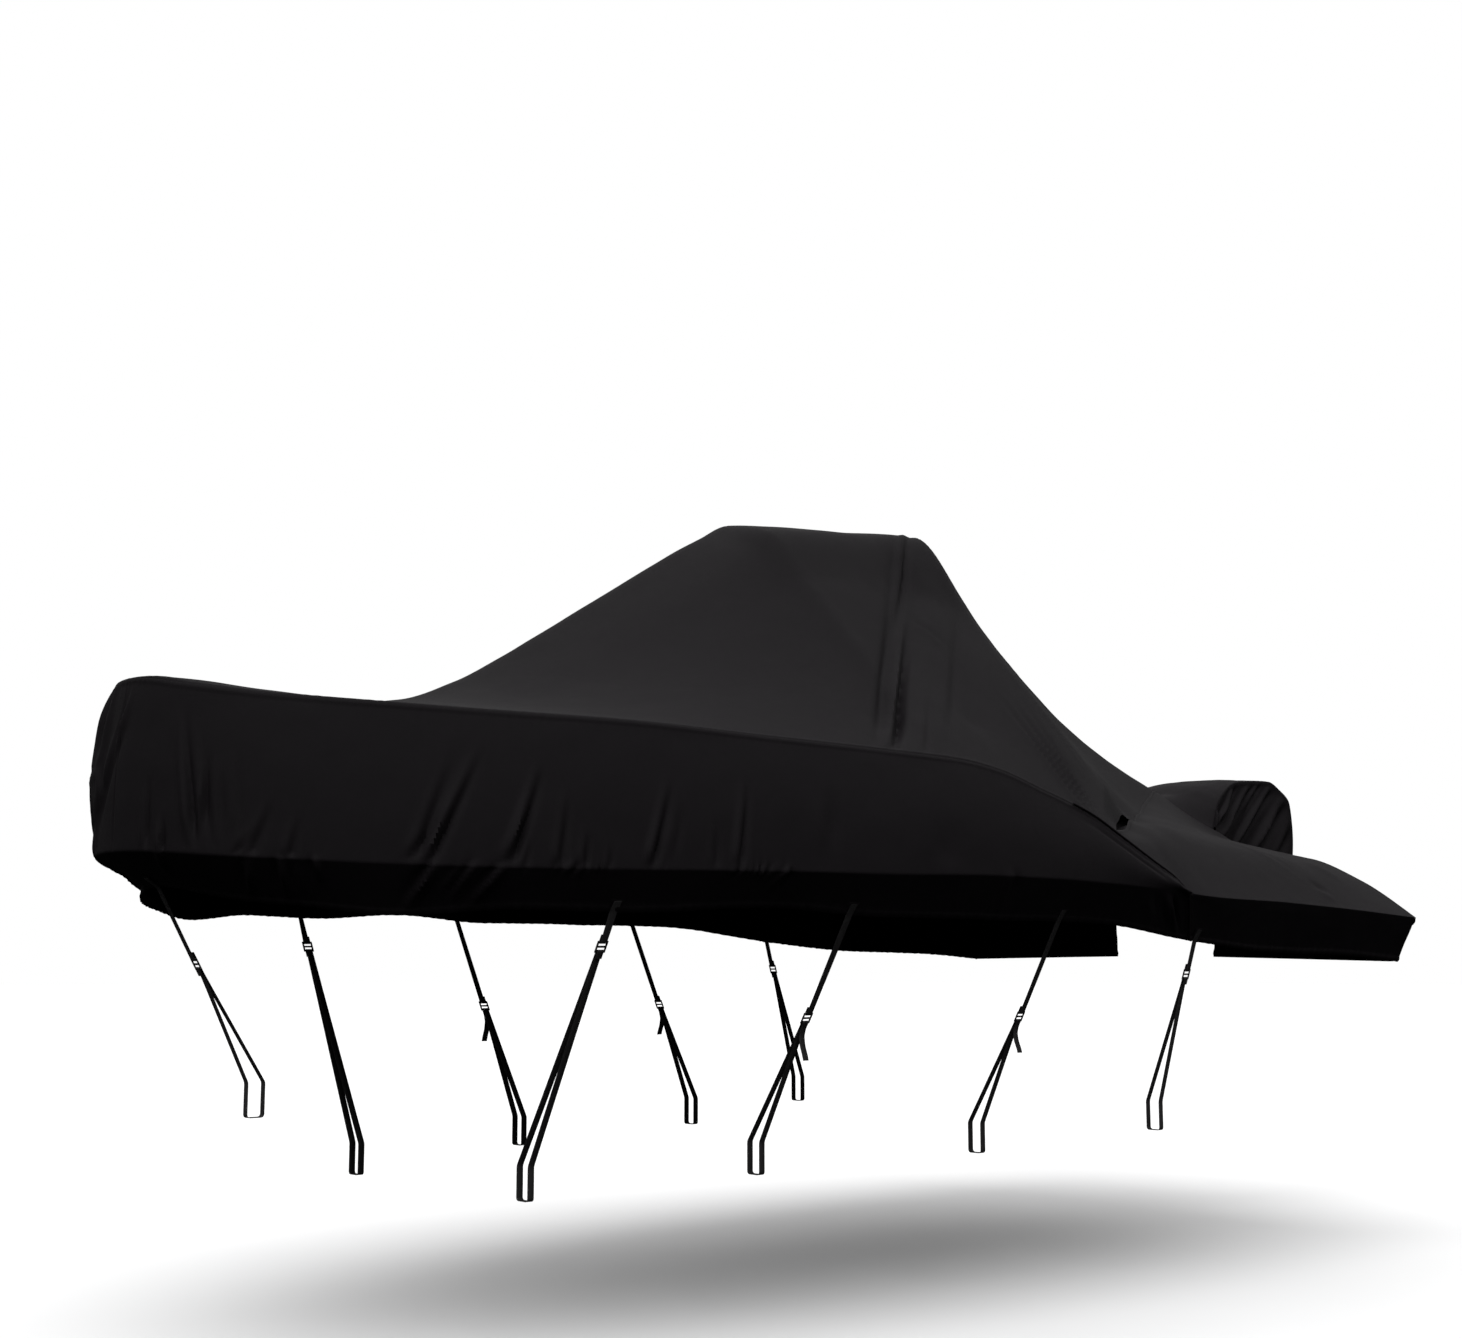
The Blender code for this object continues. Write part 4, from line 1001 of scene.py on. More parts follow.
def deck_plan(k, v, station):
    """Plan of the aft deck, blended from its four borders: k runs aft, v to the hood."""
    ridge_half = edge("ridge", SLIT_STATION)[1]
    rounding = np.array(STERN_ROUNDING)
    stern_half = edge("ridge", LENGTH)[1] - rounding[1]

    def tent_foot(v):
        opened = foot_bow(v) + SLIT["gap"] * slit_opening(v)
        return joined(SLIT_STATION + (SPINE_END - SLIT_STATION) * v + opened,
                      ridge_half * (1 - v))

    def stern_edge(v):
        turned = rounding[0] * np.maximum(0, 1 - v / STERN_CORNER) ** 2
        return joined(LENGTH - turned, stern_half + (HOOD_HALF - stern_half) * v)

    outer = edge("ridge", station)[..., :2] - rounding * k[..., None] ** STERN_TURN
    ends = np.zeros_like(v), np.ones_like(v)
    k, v_ = k[..., None], v[..., None]
    sides = ((1 - k) * tent_foot(v) + k * stern_edge(v) + (1 - v_) * outer
             + v_ * hood_foot(k[..., 0]))
    corners = ((1 - v_) * ((1 - k) * tent_foot(ends[0]) + k * stern_edge(ends[0]))
               + v_ * ((1 - k) * tent_foot(ends[1]) + k * stern_edge(ends[1])))
    return sides - corners


def below_top(station, half, deep):
    """Points this deep under the top cloth, square to it."""
    along = top_surface(station + NEIGHBOUR, half) - top_surface(station - NEIGHBOUR, half)
    across = top_surface(station, half + NEIGHBOUR) - top_surface(station, half - NEIGHBOUR)
    square = np.cross(along, across)
    square *= np.sign(square[..., 2:]) / np.linalg.norm(square, axis=-1, keepdims=True)
    return top_surface(station, half) - square * deep[..., None]


def folded_in_patch(side):
    """The deck's cloth folded in below the slit, from under the tent to under the deck."""
    v, t = grid(np.linspace(FOLDED_IN["first"], FOLDED_IN["last"], FOLDED_IN_STEPS[0] + 1),
                np.linspace(0, 1, FOLDED_IN_STEPS[1] + 1))
    foot = SLIT_STATION + (SPINE_END - SLIT_STATION) * v + foot_bow(v)
    reach = SLIT["gap"] * slit_opening(v) + FOLDED_IN["deck"]
    station = foot - FOLDED_IN["tent"] * (1 - t) + reach * t
    deep = (valley(v) + FOLDED_IN["below"]
            + FOLDED_IN["depth"] * np.sqrt(slit_opening(v)) * hump(t, 0, 1))
    half = edge("ridge", SLIT_STATION)[1] * (1 - v)
    return Patch(placed(below_top(station, half, deep), side), np.zeros(v.shape))


def aft_patches(side):
    """The deck behind the tent, and the skirt that hangs from its edge and the stern."""
    fore = spread("ridge", SLIT_STATION, SEAM_STATION, DECK_STEP)
    aft = spread("ridge", SEAM_STATION, LENGTH, DECK_STEP)
    rows = np.sort(np.concatenate([
        fore, aft[1:], LENGTH - STERN_ROW * np.arange(1, STERN_ROWS + 1),
        SLIT_STATION + FOOT_ROW * np.arange(1, FOOT_ROWS + 1) ** FOOT_ROW_GROWTH]))
    station, v = grid(rows, with_fine_ends(DECK_ACROSS, DECK_RUN))
    k = (station - SLIT_STATION) / (LENGTH - SLIT_STATION)
    place = deck_plan(k, v, station)
    deck = placed(top_surface(place[..., 0], place[..., 1]), side)

    from_tent, across = run_lengths(deck, 0), run_lengths(deck, 1)
    from_stern = from_tent[-1:] - from_tent
    from_hood = across[:, -1:] - across
    sewn = np.minimum(np.minimum(from_tent, from_hood),
                      np.where(station < SEAM_STATION, across, 1.0))
    along_seam = np.where(sewn < from_tent, from_tent, across)
    free = calm(CALM, sewn) * calm(CALM_OUTER, across, from_stern)
    relief = creases(place, TOP_CREASES) * free
    relief += free * lumps(deck, "deck")
    welted = np.where(across <= sewn, beside_welt(station), 1)
    relief += (sewn_edge(sewn, along_seam, welted) * calm(CALM_NARROW, from_stern)
               * ((across > 0) | (station < SEAM_STATION)))
    relief -= valley(v) * bell(from_tent, VALLEY_REACH)
    top = Patch(deck, relief, (along_seam, sewn))

    first = int(np.searchsorted(rows, SEAM_STATION - TINY))
    tops = np.concatenate([deck[first:, 0], deck[-1, 1:]])
    hems = placed(edge("hem", rows[first:]), side)
    hems[-1, 0] -= STERN_HEM_IN
    share = (deck[-1, 1:, 1] / deck[-1, 0, 1])[:, None]
    stern = hems[-1] * np.concatenate([share ** 0, share, share ** 0], axis=1)
    stern[:, 2:] += STERN_HEM_RISE * (1 - share)
    stern[-1, 1] = tops[-1, 1]
    hems = np.concatenate([hems, stern])
    down = with_fine_ends(2 * SKIRT_STEPS, SKIRT_DROP)
    skirt = tops[:, None] + (hems - tops)[:, None] * down[:, None]
    lengths, run = run_lengths(skirt, 1), run_lengths(skirt, 0)
    run = np.broadcast_to(run[:, :1], run.shape)
    from_hem = lengths[:, -1:] - lengths
    corner = np.abs(run - run[len(rows) - first - 1])
    relief = (calm(CALM_OUTER, lengths) * calm(CALM, run) * lumps(skirt, "skirt")
              + AFT_HEM * hemmed_edge(from_hem, run) * (lengths > 0)
              + sewn_edge(run, lengths, WELT_LIP)
              + CORNER_FOLD * bell(corner, CORNER_HALF) * calm(CALM_NARROW, lengths))
    relief[-1] = 0
    hanging = Patch(skirt, relief, (lengths, np.minimum(run, corner)), (run, from_hem))
    return [top, hanging, folded_in_patch(side)]


# ---- the hood ----
def cap_surface(along, across):
    """The hood's cap: across runs from -1 to 1, seam to seam over the middle line."""
    turn = np.abs(across) * math.pi / 2
    middle = joined(HOOD["x"](along), HOOD["z"](along))
    seam = joined(HOOD["seam_x"](along), HOOD["seam_z"](along))
    place = middle + (seam - middle) * (1 - np.cos(turn))[..., None]
    half = HOOD["seam_half"](along) * np.sin(turn)
    foot = top_surface(place[..., 0], half)[..., 2]
    rise = np.maximum(0, 1 - along / HOOD_BLEND) ** 2
    z = place[..., 1] + (foot - place[..., 1]) * rise
    return joined(place[..., 0], half, z)


def cap_patch():
    along, across = grid(np.linspace(0, 1, CAP_ALONG + 1), np.linspace(-1, 1, CAP_ACROSS + 1))
    points = cap_surface(along, across)
    points[..., 1] *= np.sign(across)
    points = placed(points)
    run, off = run_lengths(points, 0), run_lengths(points, 1)
    off = np.minimum(off, off[:, -1:] - off)
    from_hem = run[-1:] - run
    along_hem = across * CAP_HALF_RUN
    free = calm(CALM_CAP, off, run, from_hem)
    relief = free * lumps(points, "cap")
    relief += sewn_edge(off, run) * (run > 0) + hemmed_edge(from_hem, along_hem) * free
    return Patch(points, relief, (run, off), (along_hem, from_hem))


# The pleats of the hood's side: along is a share of its seam, down 1 its lower edge.
HOOD_PLEATS = [
    # along, down, along, down, depth, half-width, peak, ridge
    (0.215, -0.40, 0.060, 1.10, 0.026, 0.015, 0.50, 0.6),
    (0.460, -0.10, 0.190, 1.10, 0.034, 0.016, 0.45, 0.8),
    (0.610, -0.10, 0.250, 1.20, 0.036, 0.017, 0.45, 0.8),
    (0.640, -0.10, 0.560, 0.40, 0.018, 0.012, 0.40, 0.6),
    (0.755, -0.10, 0.500, 1.20, 0.038, 0.017, 0.50, 0.8),
    (0.820, -0.10, 0.730, 1.10, 0.036, 0.016, 0.55, 0.9),
    (0.890, -0.10, 0.840, 1.10, 0.022, 0.017, 0.55, 0.7),
]
HOOD_RUN, HOOD_FALL = 0.95, 0.33     # lengths of cloth along the seam and down, roughly
GATHER_START = 1 / 28    # share of the seam where the gathered side begins
GATHER_FADE = 0.12       # the pleats fade over this share at the seam and the hem


def gathered_patch(side):
    """The hood's side: its pleats run from the cap's seam forward and down to the hem."""
    along, down = grid(np.linspace(GATHER_START, 1, GATHER_ALONG + 1),
                       np.linspace(0, 1, GATHER_DOWN + 1))
    seam = cap_surface(along, np.ones_like(along))
    hem = joined(HOOD_SIDE_HEM["x"](along), seam[..., 1], HOOD_SIDE_HEM["z"](along))
    points = seam + (hem - seam) * down[..., None]
    pleats = creases(joined(along * HOOD_RUN, down * HOOD_FALL),
                     [(a0 * HOOD_RUN, d0 * HOOD_FALL, a1 * HOOD_RUN, d1 * HOOD_FALL, *rest)
                      for a0, d0, a1, d1, *rest in HOOD_PLEATS])
    points[..., 1] += pleats * calm(GATHER_FADE, down, 1 - down)
    points = placed(points, side)
    run, off = run_lengths(points, 0), run_lengths(points, 1)
    from_hem = off[:, -1:] - off
    relief = lumps(points, "gathers") * np.sin(np.pi * down) + sewn_edge(off, run)
    relief *= (down > 0) & (down < 1)
    return Patch(points, relief, (run, off), (run, from_hem))


# ---- the seam's piping ----
def side_point(station, down):
    return side_surface(np.float64(station), np.float64(down))


def facing_out(u, v):
    """Unit normal of the plane of u and v, on the side away from the cover's middle."""
    normal = np.cross(u, v)
    normal /= np.linalg.norm(normal)
    return normal if normal[1] > 0 else -normal


WELT_STEPS = 60
WELT_SKIRT, WELT_SKIRT_STEPS = (1.12, 1.97), 14      # down the skirt
WELT_PASSES = 3          # times that its path is smoothed
WELT_SIDES = 3


def welt_path(side):
    """Along the aft part of the ridge and down the skirt, just outside both panels."""
    stand_off = WELT_RADIUS + CLOTH + 2 * GAP
    path = []
    for station in np.linspace(WELT_START, SEAM_STATION, WELT_STEPS):
        point, half = side_point(station, 0), edge("ridge", station)[1]
        along = side_point(station + NEIGHBOUR, 0) - side_point(station - NEIGHBOUR, 0)
        lower = side_point(station, WELT_BELOW + (station == SEAM_STATION)) - point
        inner = top_surface(np.array(station), np.array(WELT_LEAN * half)) - point
        deck, wall = facing_out(along, inner), facing_out(along, lower)
        middle = (deck + wall) / np.linalg.norm(deck + wall)
        path.append(point + middle * stand_off / np.dot(middle, wall))
    skirt = facing_out((1, 0, 0), side_point(SEAM_STATION, 2) - side_point(SEAM_STATION, 1))
    for down in np.linspace(*WELT_SKIRT, WELT_SKIRT_STEPS):
        path.append(side_point(SEAM_STATION, down) + skirt * stand_off)
    return placed(np.array(path), side)


def add_welt(side):
    data = bpy.data.curves.new("seam_piping_" + side, "CURVE")
    data.dimensions = "3D"
    spline = data.splines.new("POLY")
    path = welt_path(side)
    for _ in range(WELT_PASSES):
        path[1:-1] = (path[:-2] + 2 * path[1:-1] + path[2:]) / 4
    spline.points.add(len(path) - 1)
    for knot, point in zip(spline.points, path):
        knot.co = (*point, 1)
    data.bevel_depth = WELT_RADIUS
    data.bevel_resolution = WELT_SIDES
    data.use_fill_caps = True
    piece = add_object("seam_piping_" + side, data)
    select_only(piece)
    bpy.ops.object.convert(target="MESH")
    lay_patterns(piece.data)
    shape(piece)
    show(piece, FINISHES["piping"], ["seam_welt_" + side])


def lay_patterns(mesh):
    """Patterns for small cloth: the weave by place, and no stitches."""
    corners = np.empty(len(mesh.loops), int)
    mesh.loops.foreach_get("vertex_index", corners)
    place = np.empty(len(mesh.vertices) * 3)
    mesh.vertices.foreach_get("co", place)
    place = place.reshape(-1, 3)[corners]
    while mesh.uv_layers:
        mesh.uv_layers.remove(mesh.uv_layers[0])
    mesh.uv_layers.new(name="weave").data.foreach_set("uv", place[:, [0, 2]].ravel())
    for pattern in ("seams", "hem"):
        mesh.uv_layers.new(name=pattern).data.foreach_set("uv", np.ones(2 * len(corners)))


# ---- straps ----
STRAPS = [
    # name, x aft of the bow, loop's outer face, its foot, buckle down the strap, free tail
    ("1", 1.163, 0.520, -1.010, 0.118,  0.0),
    ("2", 1.977, 0.690, -0.975, 0.385, 0.10),
    ("3", 2.940, 0.810, -0.960, 0.380, 0.09),
    ("4", 3.738, 1.000, -0.915, 0.130,  0.0),
]
BOW_STRAP = ("bow", -0.465, -0.750, 0.265, 0.0)
# The fall of a free tail: share of its length, and how far it stands out in shares of it.
TAIL_FALL = [(0.30, 0.06), (0.60, 0.25), (0.85, 0.50), (1.00, 0.62)]
TAIL_DOWN = 0.8          # share of a tail's length that hangs down
CORNER = 0.006           # webbing turns a corner over this length
WEB_STEP = 0.012
STATION_PASSES = 12      # times that the guess of a station is corrected
BAR_POINTS, LOOP_STEPS = 9, 5
WEB_SECTION = [(1, 0.35), (0.96, 1), (-0.96, 1), (-1, 0.35),
               (-1, -0.35), (-0.96, -1), (0.96, -1), (1, -0.35)]


def station_over(x, down):
    """The station whose point of the skirt lies at x."""
    station = x
    for _ in range(STATION_PASSES):
        station = x - (down - 1) * (edge("hem", station)[0] - station)
    return station


def bend(centre, radius, start, end, steps):
    """Points of an arc, angles in degrees."""
    return [centre + radius * np.array([math.cos(a), math.sin(a)])
            for a in np.radians(np.linspace(start, end, steps + 1))]


def softened(points, widths):
    """The line with its corners turned softly, and long runs divided."""
    made, across = [points[0]], [widths[0]]
    for before, here, after, width in zip(points, points[1:], points[2:], widths[1:]):
        fore, aft = here - before, after - here
        reach = min(CORNER, np.linalg.norm(fore) / 2, np.linalg.norm(aft) / 2)
        start = here - fore / np.linalg.norm(fore) * reach
        end = here + aft / np.linalg.norm(aft) * reach
        for t in (0, 0.5, 1):
            made.append(start * (1 - t) ** 2 + here * 2 * t * (1 - t) + end * t ** 2)
            across.append(width)
    made.append(points[-1])
    across.append(widths[-1])
    line, side = [made[0]], [across[0]]
    for a, b, u, w in zip(made, made[1:], across, across[1:]):
        count = math.ceil(np.linalg.norm(b - a) / WEB_STEP)
        for t in np.arange(1, count + 1) / max(count, 1):
            line.append(a + (b - a) * t)
            side.append(u + (w - u) * t)
    return line, side


def band_mesh(name, middle, across, normals, width, thickness):
    """A flat strip with rounded edges, swept along its middle line."""
    bm = bmesh.new()
    pattern = bm.loops.layers.uv.new("weave")
    rings, run = [], 0.0
    for k, (point, side, normal) in enumerate(zip(middle, across, normals)):
        if k:
            run += float(np.linalg.norm(point - middle[k - 1]))
        u, n = side * width / 2, normal * thickness / 2
        rings.append((run, [bm.verts.new(point + a * u + b * n) for a, b in WEB_SECTION]))
    count = len(WEB_SECTION)
    for (low, ring), (high, following) in zip(rings, rings[1:]):
        for k in range(count):
            face = bm.faces.new((ring[k], ring[k - 1], following[k - 1], following[k]))
            for loop, v, at in zip(face.loops, (low, low, high, high), (k, k - 1, k - 1, k)):
                loop[pattern].uv = (WEB_SECTION[at][0] * width / 2, v)
    bm.faces.new(rings[0][1])
    bm.faces.new(rings[-1][1][::-1])
    bmesh.ops.recalc_face_normals(bm, faces=bm.faces)
    mesh = bpy.data.meshes.new(name)
    bm.to_mesh(mesh)
    bm.free()
    return mesh


class Strap:
    """One strap in its own upright plane: out from the middle of the cover, and up.

    lay(out, up) puts a point of that plane in the part's frame, and across is the
    direction of the webbing's width."""

    def __init__(self, name, lay, across, patch, outer, foot, buckle, tail):
        self.name, self.lay, self.across, self.tail = name, lay, across, tail
        self.patch = patch
        self.top = patch["sewn"][-1]
        self.inner, self.outer = outer - LOOP_WIDTH, outer
        self.foot, self.head = foot, foot + LOOP_HEIGHT
        aim = np.array([outer - LOOP_WIDTH / 2, self.head]) - self.top
        self.along = aim / np.linalg.norm(aim)
        self.out = np.array([-self.along[1], self.along[0]])
        if self.out[0] < 0:
            self.out = -self.out
        self.buckle = self.top + self.along * buckle

    def at_buckle(self, down, out):
        return self.buckle + self.along * down + self.out * out

    def turn_round_bar(self, bar, upward):
        """The webbing's turn round a bar, from the back of the buckle to its front."""
        way = -1 if upward else 1
        return [self.at_buckle(bar + way * (BUCKLE_BAR / 4 + BAR_TURN * math.cos(a)),
                               BAR_TURN * math.sin(a))
                for a in np.radians(np.linspace(-90, 90, BAR_POINTS))]

    def band(self, part, points, widths=None):
        points, widths = softened([np.array(p) for p in points],
                                  widths or [self.across] * len(points))
        middle, normals = [], []
        for k, point in enumerate(points):
            before, after = points[max(k - 1, 0)], points[min(k + 1, len(points) - 1)]
            ways = [w / np.linalg.norm(w) for w in (point - before, after - point)
                    if np.linalg.norm(w) > TINY]
            way = sum(ways) / np.linalg.norm(sum(ways))
            normal = np.array([-way[1], way[0]])
            middle.append(self.lay(*point))
            normals.append(self.lay(*(point + normal)) - self.lay(*point))
        name = f"strap_{self.name}_{part}_webbing"
        piece = add_object(name, band_mesh(name, middle, widths, normals, WEB_WIDTH, WEB))
        shape(piece)
        show(piece, FINISHES["webbing"], [f"strap_{self.name}_{part}"])

    def add_hanger(self):
        """The short upper webbing: sewn over the patch, then round the buckle's top bar."""
        top_bar = -(BUCKLE_LENGTH - BUCKLE_BAR) / 2
        sewn = self.patch["sewn"]
        turn = self.turn_round_bar(top_bar, upward=False)[::-1]
        end = self.at_buckle(top_bar - SHORT_END, -BAR_TURN)
        points = [*sewn, *turn, end]
        widths = [self.patch["across"]] * len(sewn) + [self.across] * (len(turn) + 1)
        self.band("hanger", points, widths)

    def add_loop(self):
        """The long webbing: free end, bottom bar, down at the back and up at the front."""
        low_bar = (BUCKLE_LENGTH - BUCKLE_BAR) / 2
        front = [self.at_buckle(low_bar + SHORT_END, BAR_TURN)]
        if self.tail:
            front = [self.at_buckle(low_bar + SHORT_END + TAIL_DOWN * down * self.tail,
                                    BAR_TURN + out * self.tail)
                     for down, out in TAIL_FALL[::-1]] + front
        turn = self.turn_round_bar(low_bar, upward=True)[::-1]
        fork = low_bar + FORK
        back = [self.at_buckle(fork, -BAR_TURN)]
        clear = WEB / 2 + GAP
        inner, outer = self.inner - clear, self.outer + clear
        low, high, r = self.foot - clear, self.head, LOOP_TURN
        foot = [np.array([inner, high]),
                *bend(np.array([inner + r, low + r]), r, 180, 270, LOOP_STEPS),
                *bend(np.array([outer - r, low + r]), r, 270, 360, LOOP_STEPS),
                np.array([outer, high])]
        rise = [self.at_buckle(fork + FORK_STEP, -BAR_TURN + WEB + GAP)]
        self.band("loop", front + turn + back + foot + rise)

    def add_patch(self):
        """The cloth under the sewn webbing, its edges turned in."""
        head, foot = self.patch["cloth"]
        line = [head + (foot - head) * t for t in np.linspace(0, 1, PATCH_STEPS + 1)]
        name = f"strap_{self.name}_sewn_patch"
        piece = add_object(name, band_mesh(name, line, [self.patch["across"]] * len(line),
                                           [self.patch["normal"]] * len(line),
                                           PATCH_WIDTH, CLOTH))
        shape(piece, ("BEVEL", {"width": CLOTH / 5, "segments": 2}))
        lay_patterns(piece.data)
        show(piece, FINISHES["cloth"], [f"strap_{self.name}_patch"])
        length = float(np.linalg.norm(foot - head))

    def add_buckle(self, pattern):
        piece = add_object(f"strap_{self.name}_slide", pattern.copy())
        up = self.lay(*(self.buckle - self.along)) - self.lay(*self.buckle)
        turned = Matrix((self.across, up, np.cross(self.across, up))).transposed()
        piece.data.transform(Matrix.LocRotScale(Vector(self.lay(*self.buckle)),
                                                turned.to_quaternion(), None))
        show(piece, FINISHES["plastic"], [f"strap_{self.name}_buckle"])

    def add(self, pattern):
        self.add_patch()
        self.add_hanger()
        self.add_loop()
        self.add_buckle(pattern)


def sewn_patch(surface, flat, outward_way):
    """A patch on the skirt, and where the webbing is sewn over it.

    surface(down) gives the skirt's middle line and its two neighbours either side;
    flat(point) gives a point's place in the strap's own plane."""
    downs = (PATCH_TOP, PATCH_FOOT)
    left, right = ([surface(down, side) for down in downs] for side in (-1, 1))
    middle = [(a + b) / 2 for a, b in zip(left, right)]
    across = (right[0] - left[0]) / np.linalg.norm(right[0] - left[0])
    normal = np.cross(middle[1] - middle[0], across)
    normal /= np.linalg.norm(normal)
    normal = normal if np.dot(normal, outward_way) > 0 else -normal
    on_skirt = [p + normal * (1.5 * CLOTH + GAP) for p in middle]
    on_patch = [p + normal * (2 * CLOTH + 2 * GAP + WEB / 2) for p in middle]
    run = on_patch[1] - on_patch[0]
    return {"cloth": on_skirt, "across": across, "normal": normal,
            "sewn": [flat(on_patch[0] + run * SEWN_FROM), flat(on_patch[1])]}


def side_strap(row, side):
    name, aft, outer, foot, buckle, tail = row
    mirror = SIDES[side]
    x, _, zero = placed(np.array((aft, 0, 0)), side)

    def lay(out, up):
        return np.array([x, mirror * out, up + zero])

    def surface(down, way):
        at = station_over(aft + way * PATCH_ROOM, down)
        if at < SEAM_STATION:
            return placed(side_point(at, down), side)
        top, hem = edge("fold", at), edge("hem", at)
        return placed(top + (hem - top) * (down - 1), side)

    patch = sewn_patch(surface, lambda p: np.array([mirror * p[1], p[2] - zero]),
                       np.array([0, mirror, -0.2]))
    return Strap(f"{side}_{name}", lay, np.array([1.0, 0, 0]), patch, outer, foot, buckle, tail)


def bow_strap():
    name, outer, foot, buckle, tail = BOW_STRAP
    x0, _, zero = placed(np.array((0, 0, 0)))

    def lay(out, up):
        return np.array([x0 - out, 0, up + zero])

    def surface(down, way):
        return placed(side_point(0, down)) + np.array([0, way * PATCH_ROOM, 0])

    patch = sewn_patch(surface, lambda p: np.array([x0 - p[0], p[2] - zero]),
                       np.array([-1, 0, -0.5]))
    return Strap(name, lay, np.array([0, 1.0, 0]), patch, outer, foot, buckle, tail)


def buckle_pattern():
    """A flat slide with two slots, modelled once."""
    bpy.ops.object.select_all(action="DESELECT")
    bpy.ops.mesh.primitive_grid_add(x_subdivisions=3, y_subdivisions=5, size=2)
    slide = bpy.context.active_object
    slot = (BUCKLE_LENGTH - 3 * BUCKLE_BAR) / 2
    across = [0, BUCKLE_SIDE, BUCKLE_WIDTH - BUCKLE_SIDE, BUCKLE_WIDTH]
    along = [0, BUCKLE_BAR, BUCKLE_BAR + slot, 2 * BUCKLE_BAR + slot,
             2 * BUCKLE_BAR + 2 * slot, BUCKLE_LENGTH]
    for vertex in slide.data.vertices:
        column, row = round((vertex.co.x + 1) / 2 * 3), round((vertex.co.y + 1) / 2 * 5)
        vertex.co.x = across[column] - BUCKLE_WIDTH / 2
        vertex.co.y = along[row] - BUCKLE_LENGTH / 2
    bpy.ops.object.mode_set(mode="EDIT")
    bpy.ops.mesh.select_mode(type="FACE")
    bpy.ops.mesh.select_all(action="DESELECT")
    bpy.ops.object.mode_set(mode="OBJECT")
    for face in slide.data.polygons:
        out = abs(face.center.y) + BUCKLE_BAR / 2
        in_slot = slot / 2 < out < BUCKLE_LENGTH / 2 - BUCKLE_BAR / 2
        face.select = in_slot and abs(face.center.x) < BUCKLE_BAR
    bpy.ops.object.mode_set(mode="EDIT")
    bpy.ops.mesh.delete(type="FACE")
    bpy.ops.object.mode_set(mode="OBJECT")
    shape(slide, ("SOLIDIFY", {"thickness": BUCKLE_THICKNESS, "offset": 0}),
          ("BEVEL", {"width": BUCKLE_ROUNDING, "segments": 3}))
    pattern = slide.data
    bpy.data.objects.remove(slide)
    return pattern


# ---- put together ----
FINISHES = {"cloth": cloth_finish("black_polyester"), "piping": cloth_finish("black_piping"),
            "webbing": webbing_finish(), "plastic": plastic_finish()}

add_sheet("tent_cloth", [tent_patch()])
add_sheet("hood_cap_cloth", [cap_patch()])
slide = buckle_pattern()
for side in SIDES:
    add_sheet("side_cloth", [side_patch(side)], side)
    add_sheet("aft_cloth", aft_patches(side), side)
    add_sheet("hood_gathers", [gathered_patch(side)], side)
    add_welt(side)
    for row in STRAPS:
        side_strap(row, side).add(slide)
bow_strap().add(slide)

# ---- the studio ----
FLOOR_Z, FLOOR_RADIUS = -2.88, 60
SKY = {"From Min": -0.05, "From Max": 0.9, "To Min": 0.012, "To Max": 1.1}
KEY = {"way": (-0.55, -0.45, 1.0), "spread_angle": 50, "strength": 2.0}
SENSOR, FOCAL_PIXELS, FRAME_PIXELS, FAR = 36, 2000, 1462, 300
CAMERA_AT, CAMERA_TILT, CAMERA_TURN = (-5.554, -5.645, -1.645), 97.885, -41.9


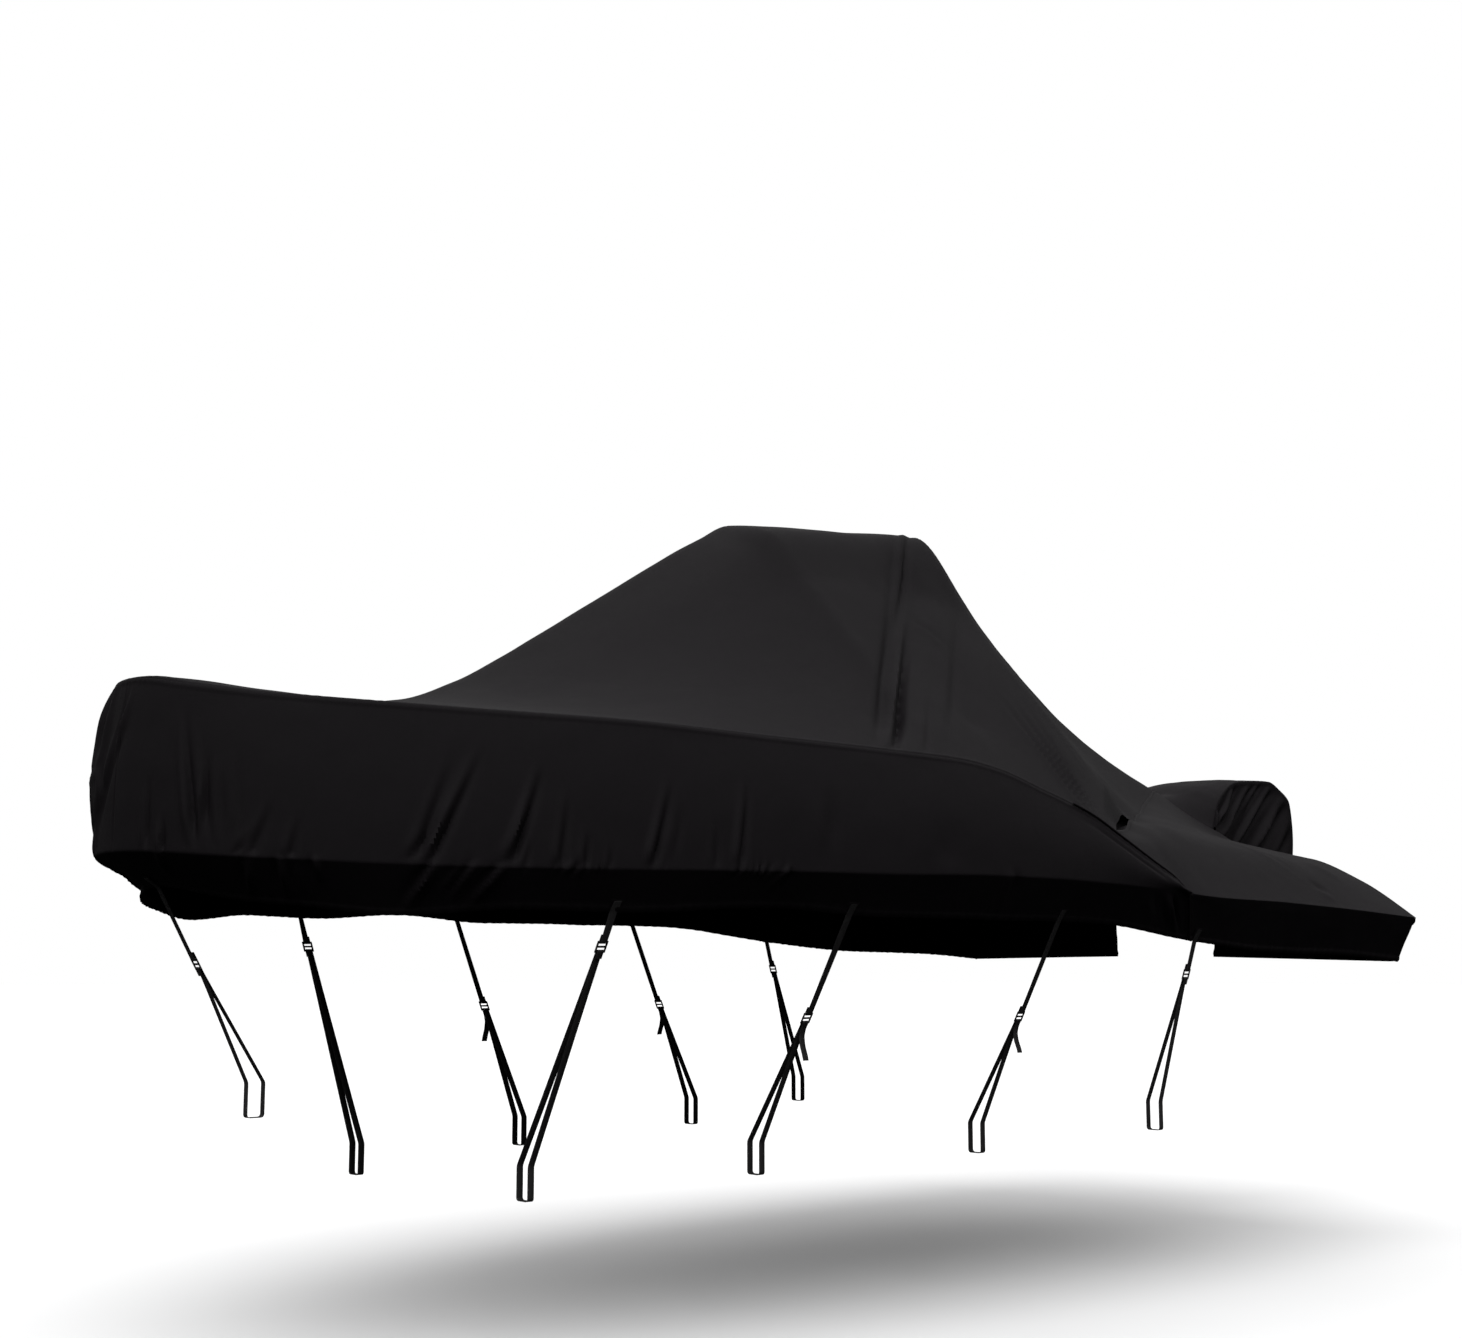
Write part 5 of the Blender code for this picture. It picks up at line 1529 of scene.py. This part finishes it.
def add_floor():
    bpy.ops.object.select_all(action="DESELECT")
    bpy.ops.mesh.primitive_circle_add(vertices=96, radius=FLOOR_RADIUS, fill_type="NGON",
                                      location=(0, 0, FLOOR_Z))
    floor = bpy.context.active_object
    floor.name = "pale_floor"
    floor.data.materials.append(floor_finish())
    floor.visible_diffuse = floor.visible_glossy = False


def light_sky():
    """A soft sky that lights from above, seen as plain white."""
    world = bpy.data.worlds.new("studio")
    bpy.context.scene.world = world
    world.use_nodes = True
    nodes, links = world.node_tree.nodes, world.node_tree.links
    sky = nodes["Background"]
    way, split = nodes.new("ShaderNodeTexCoord"), nodes.new("ShaderNodeSeparateXYZ")
    links.new(way.outputs["Generated"], split.inputs[0])
    ramp = nodes.new("ShaderNodeMapRange")
    ramp.interpolation_type = "SMOOTHSTEP"
    for socket, value in SKY.items():
        ramp.inputs[socket].default_value = value
    links.new(split.outputs[2], ramp.inputs["Value"])
    links.new(ramp.outputs[0], sky.inputs["Strength"])
    seen, ray, either = (nodes.new(kind) for kind in (
        "ShaderNodeBackground", "ShaderNodeLightPath", "ShaderNodeMixShader"))
    links.new(ray.outputs["Is Camera Ray"], either.inputs[0])
    links.new(sky.outputs[0], either.inputs[1])
    links.new(seen.outputs[0], either.inputs[2])
    sky.inputs["Color"].default_value = seen.inputs["Color"].default_value = (1, 1, 1, 1)
    links.new(either.outputs[0], nodes["World Output"].inputs["Surface"])


def add_sun(name, way, spread_angle, strength):
    """Soft light from far away, from the direction given."""
    lamp = bpy.data.lights.new(name, "SUN")
    lamp.angle, lamp.energy = math.radians(spread_angle), strength
    holder = bpy.data.objects.new(name, lamp)
    bpy.context.scene.collection.objects.link(holder)
    holder.rotation_euler = Vector(way).to_track_quat("Z", "Y").to_euler()


def add_camera():
    """The photograph's view, off the port bow."""
    data = bpy.data.cameras.new("view")
    data.sensor_width = SENSOR
    data.lens = FOCAL_PIXELS / FRAME_PIXELS * SENSOR
    data.clip_end = FAR
    camera = bpy.data.objects.new("view", data)
    bpy.context.scene.collection.objects.link(camera)
    camera.location = CAMERA_AT
    camera.rotation_euler = (math.radians(CAMERA_TILT), 0, math.radians(CAMERA_TURN))
    bpy.context.scene.camera = camera


add_floor()
light_sky()
add_sun("key", **KEY)
add_camera()
bpy.context.scene.view_settings.view_transform = "Standard"
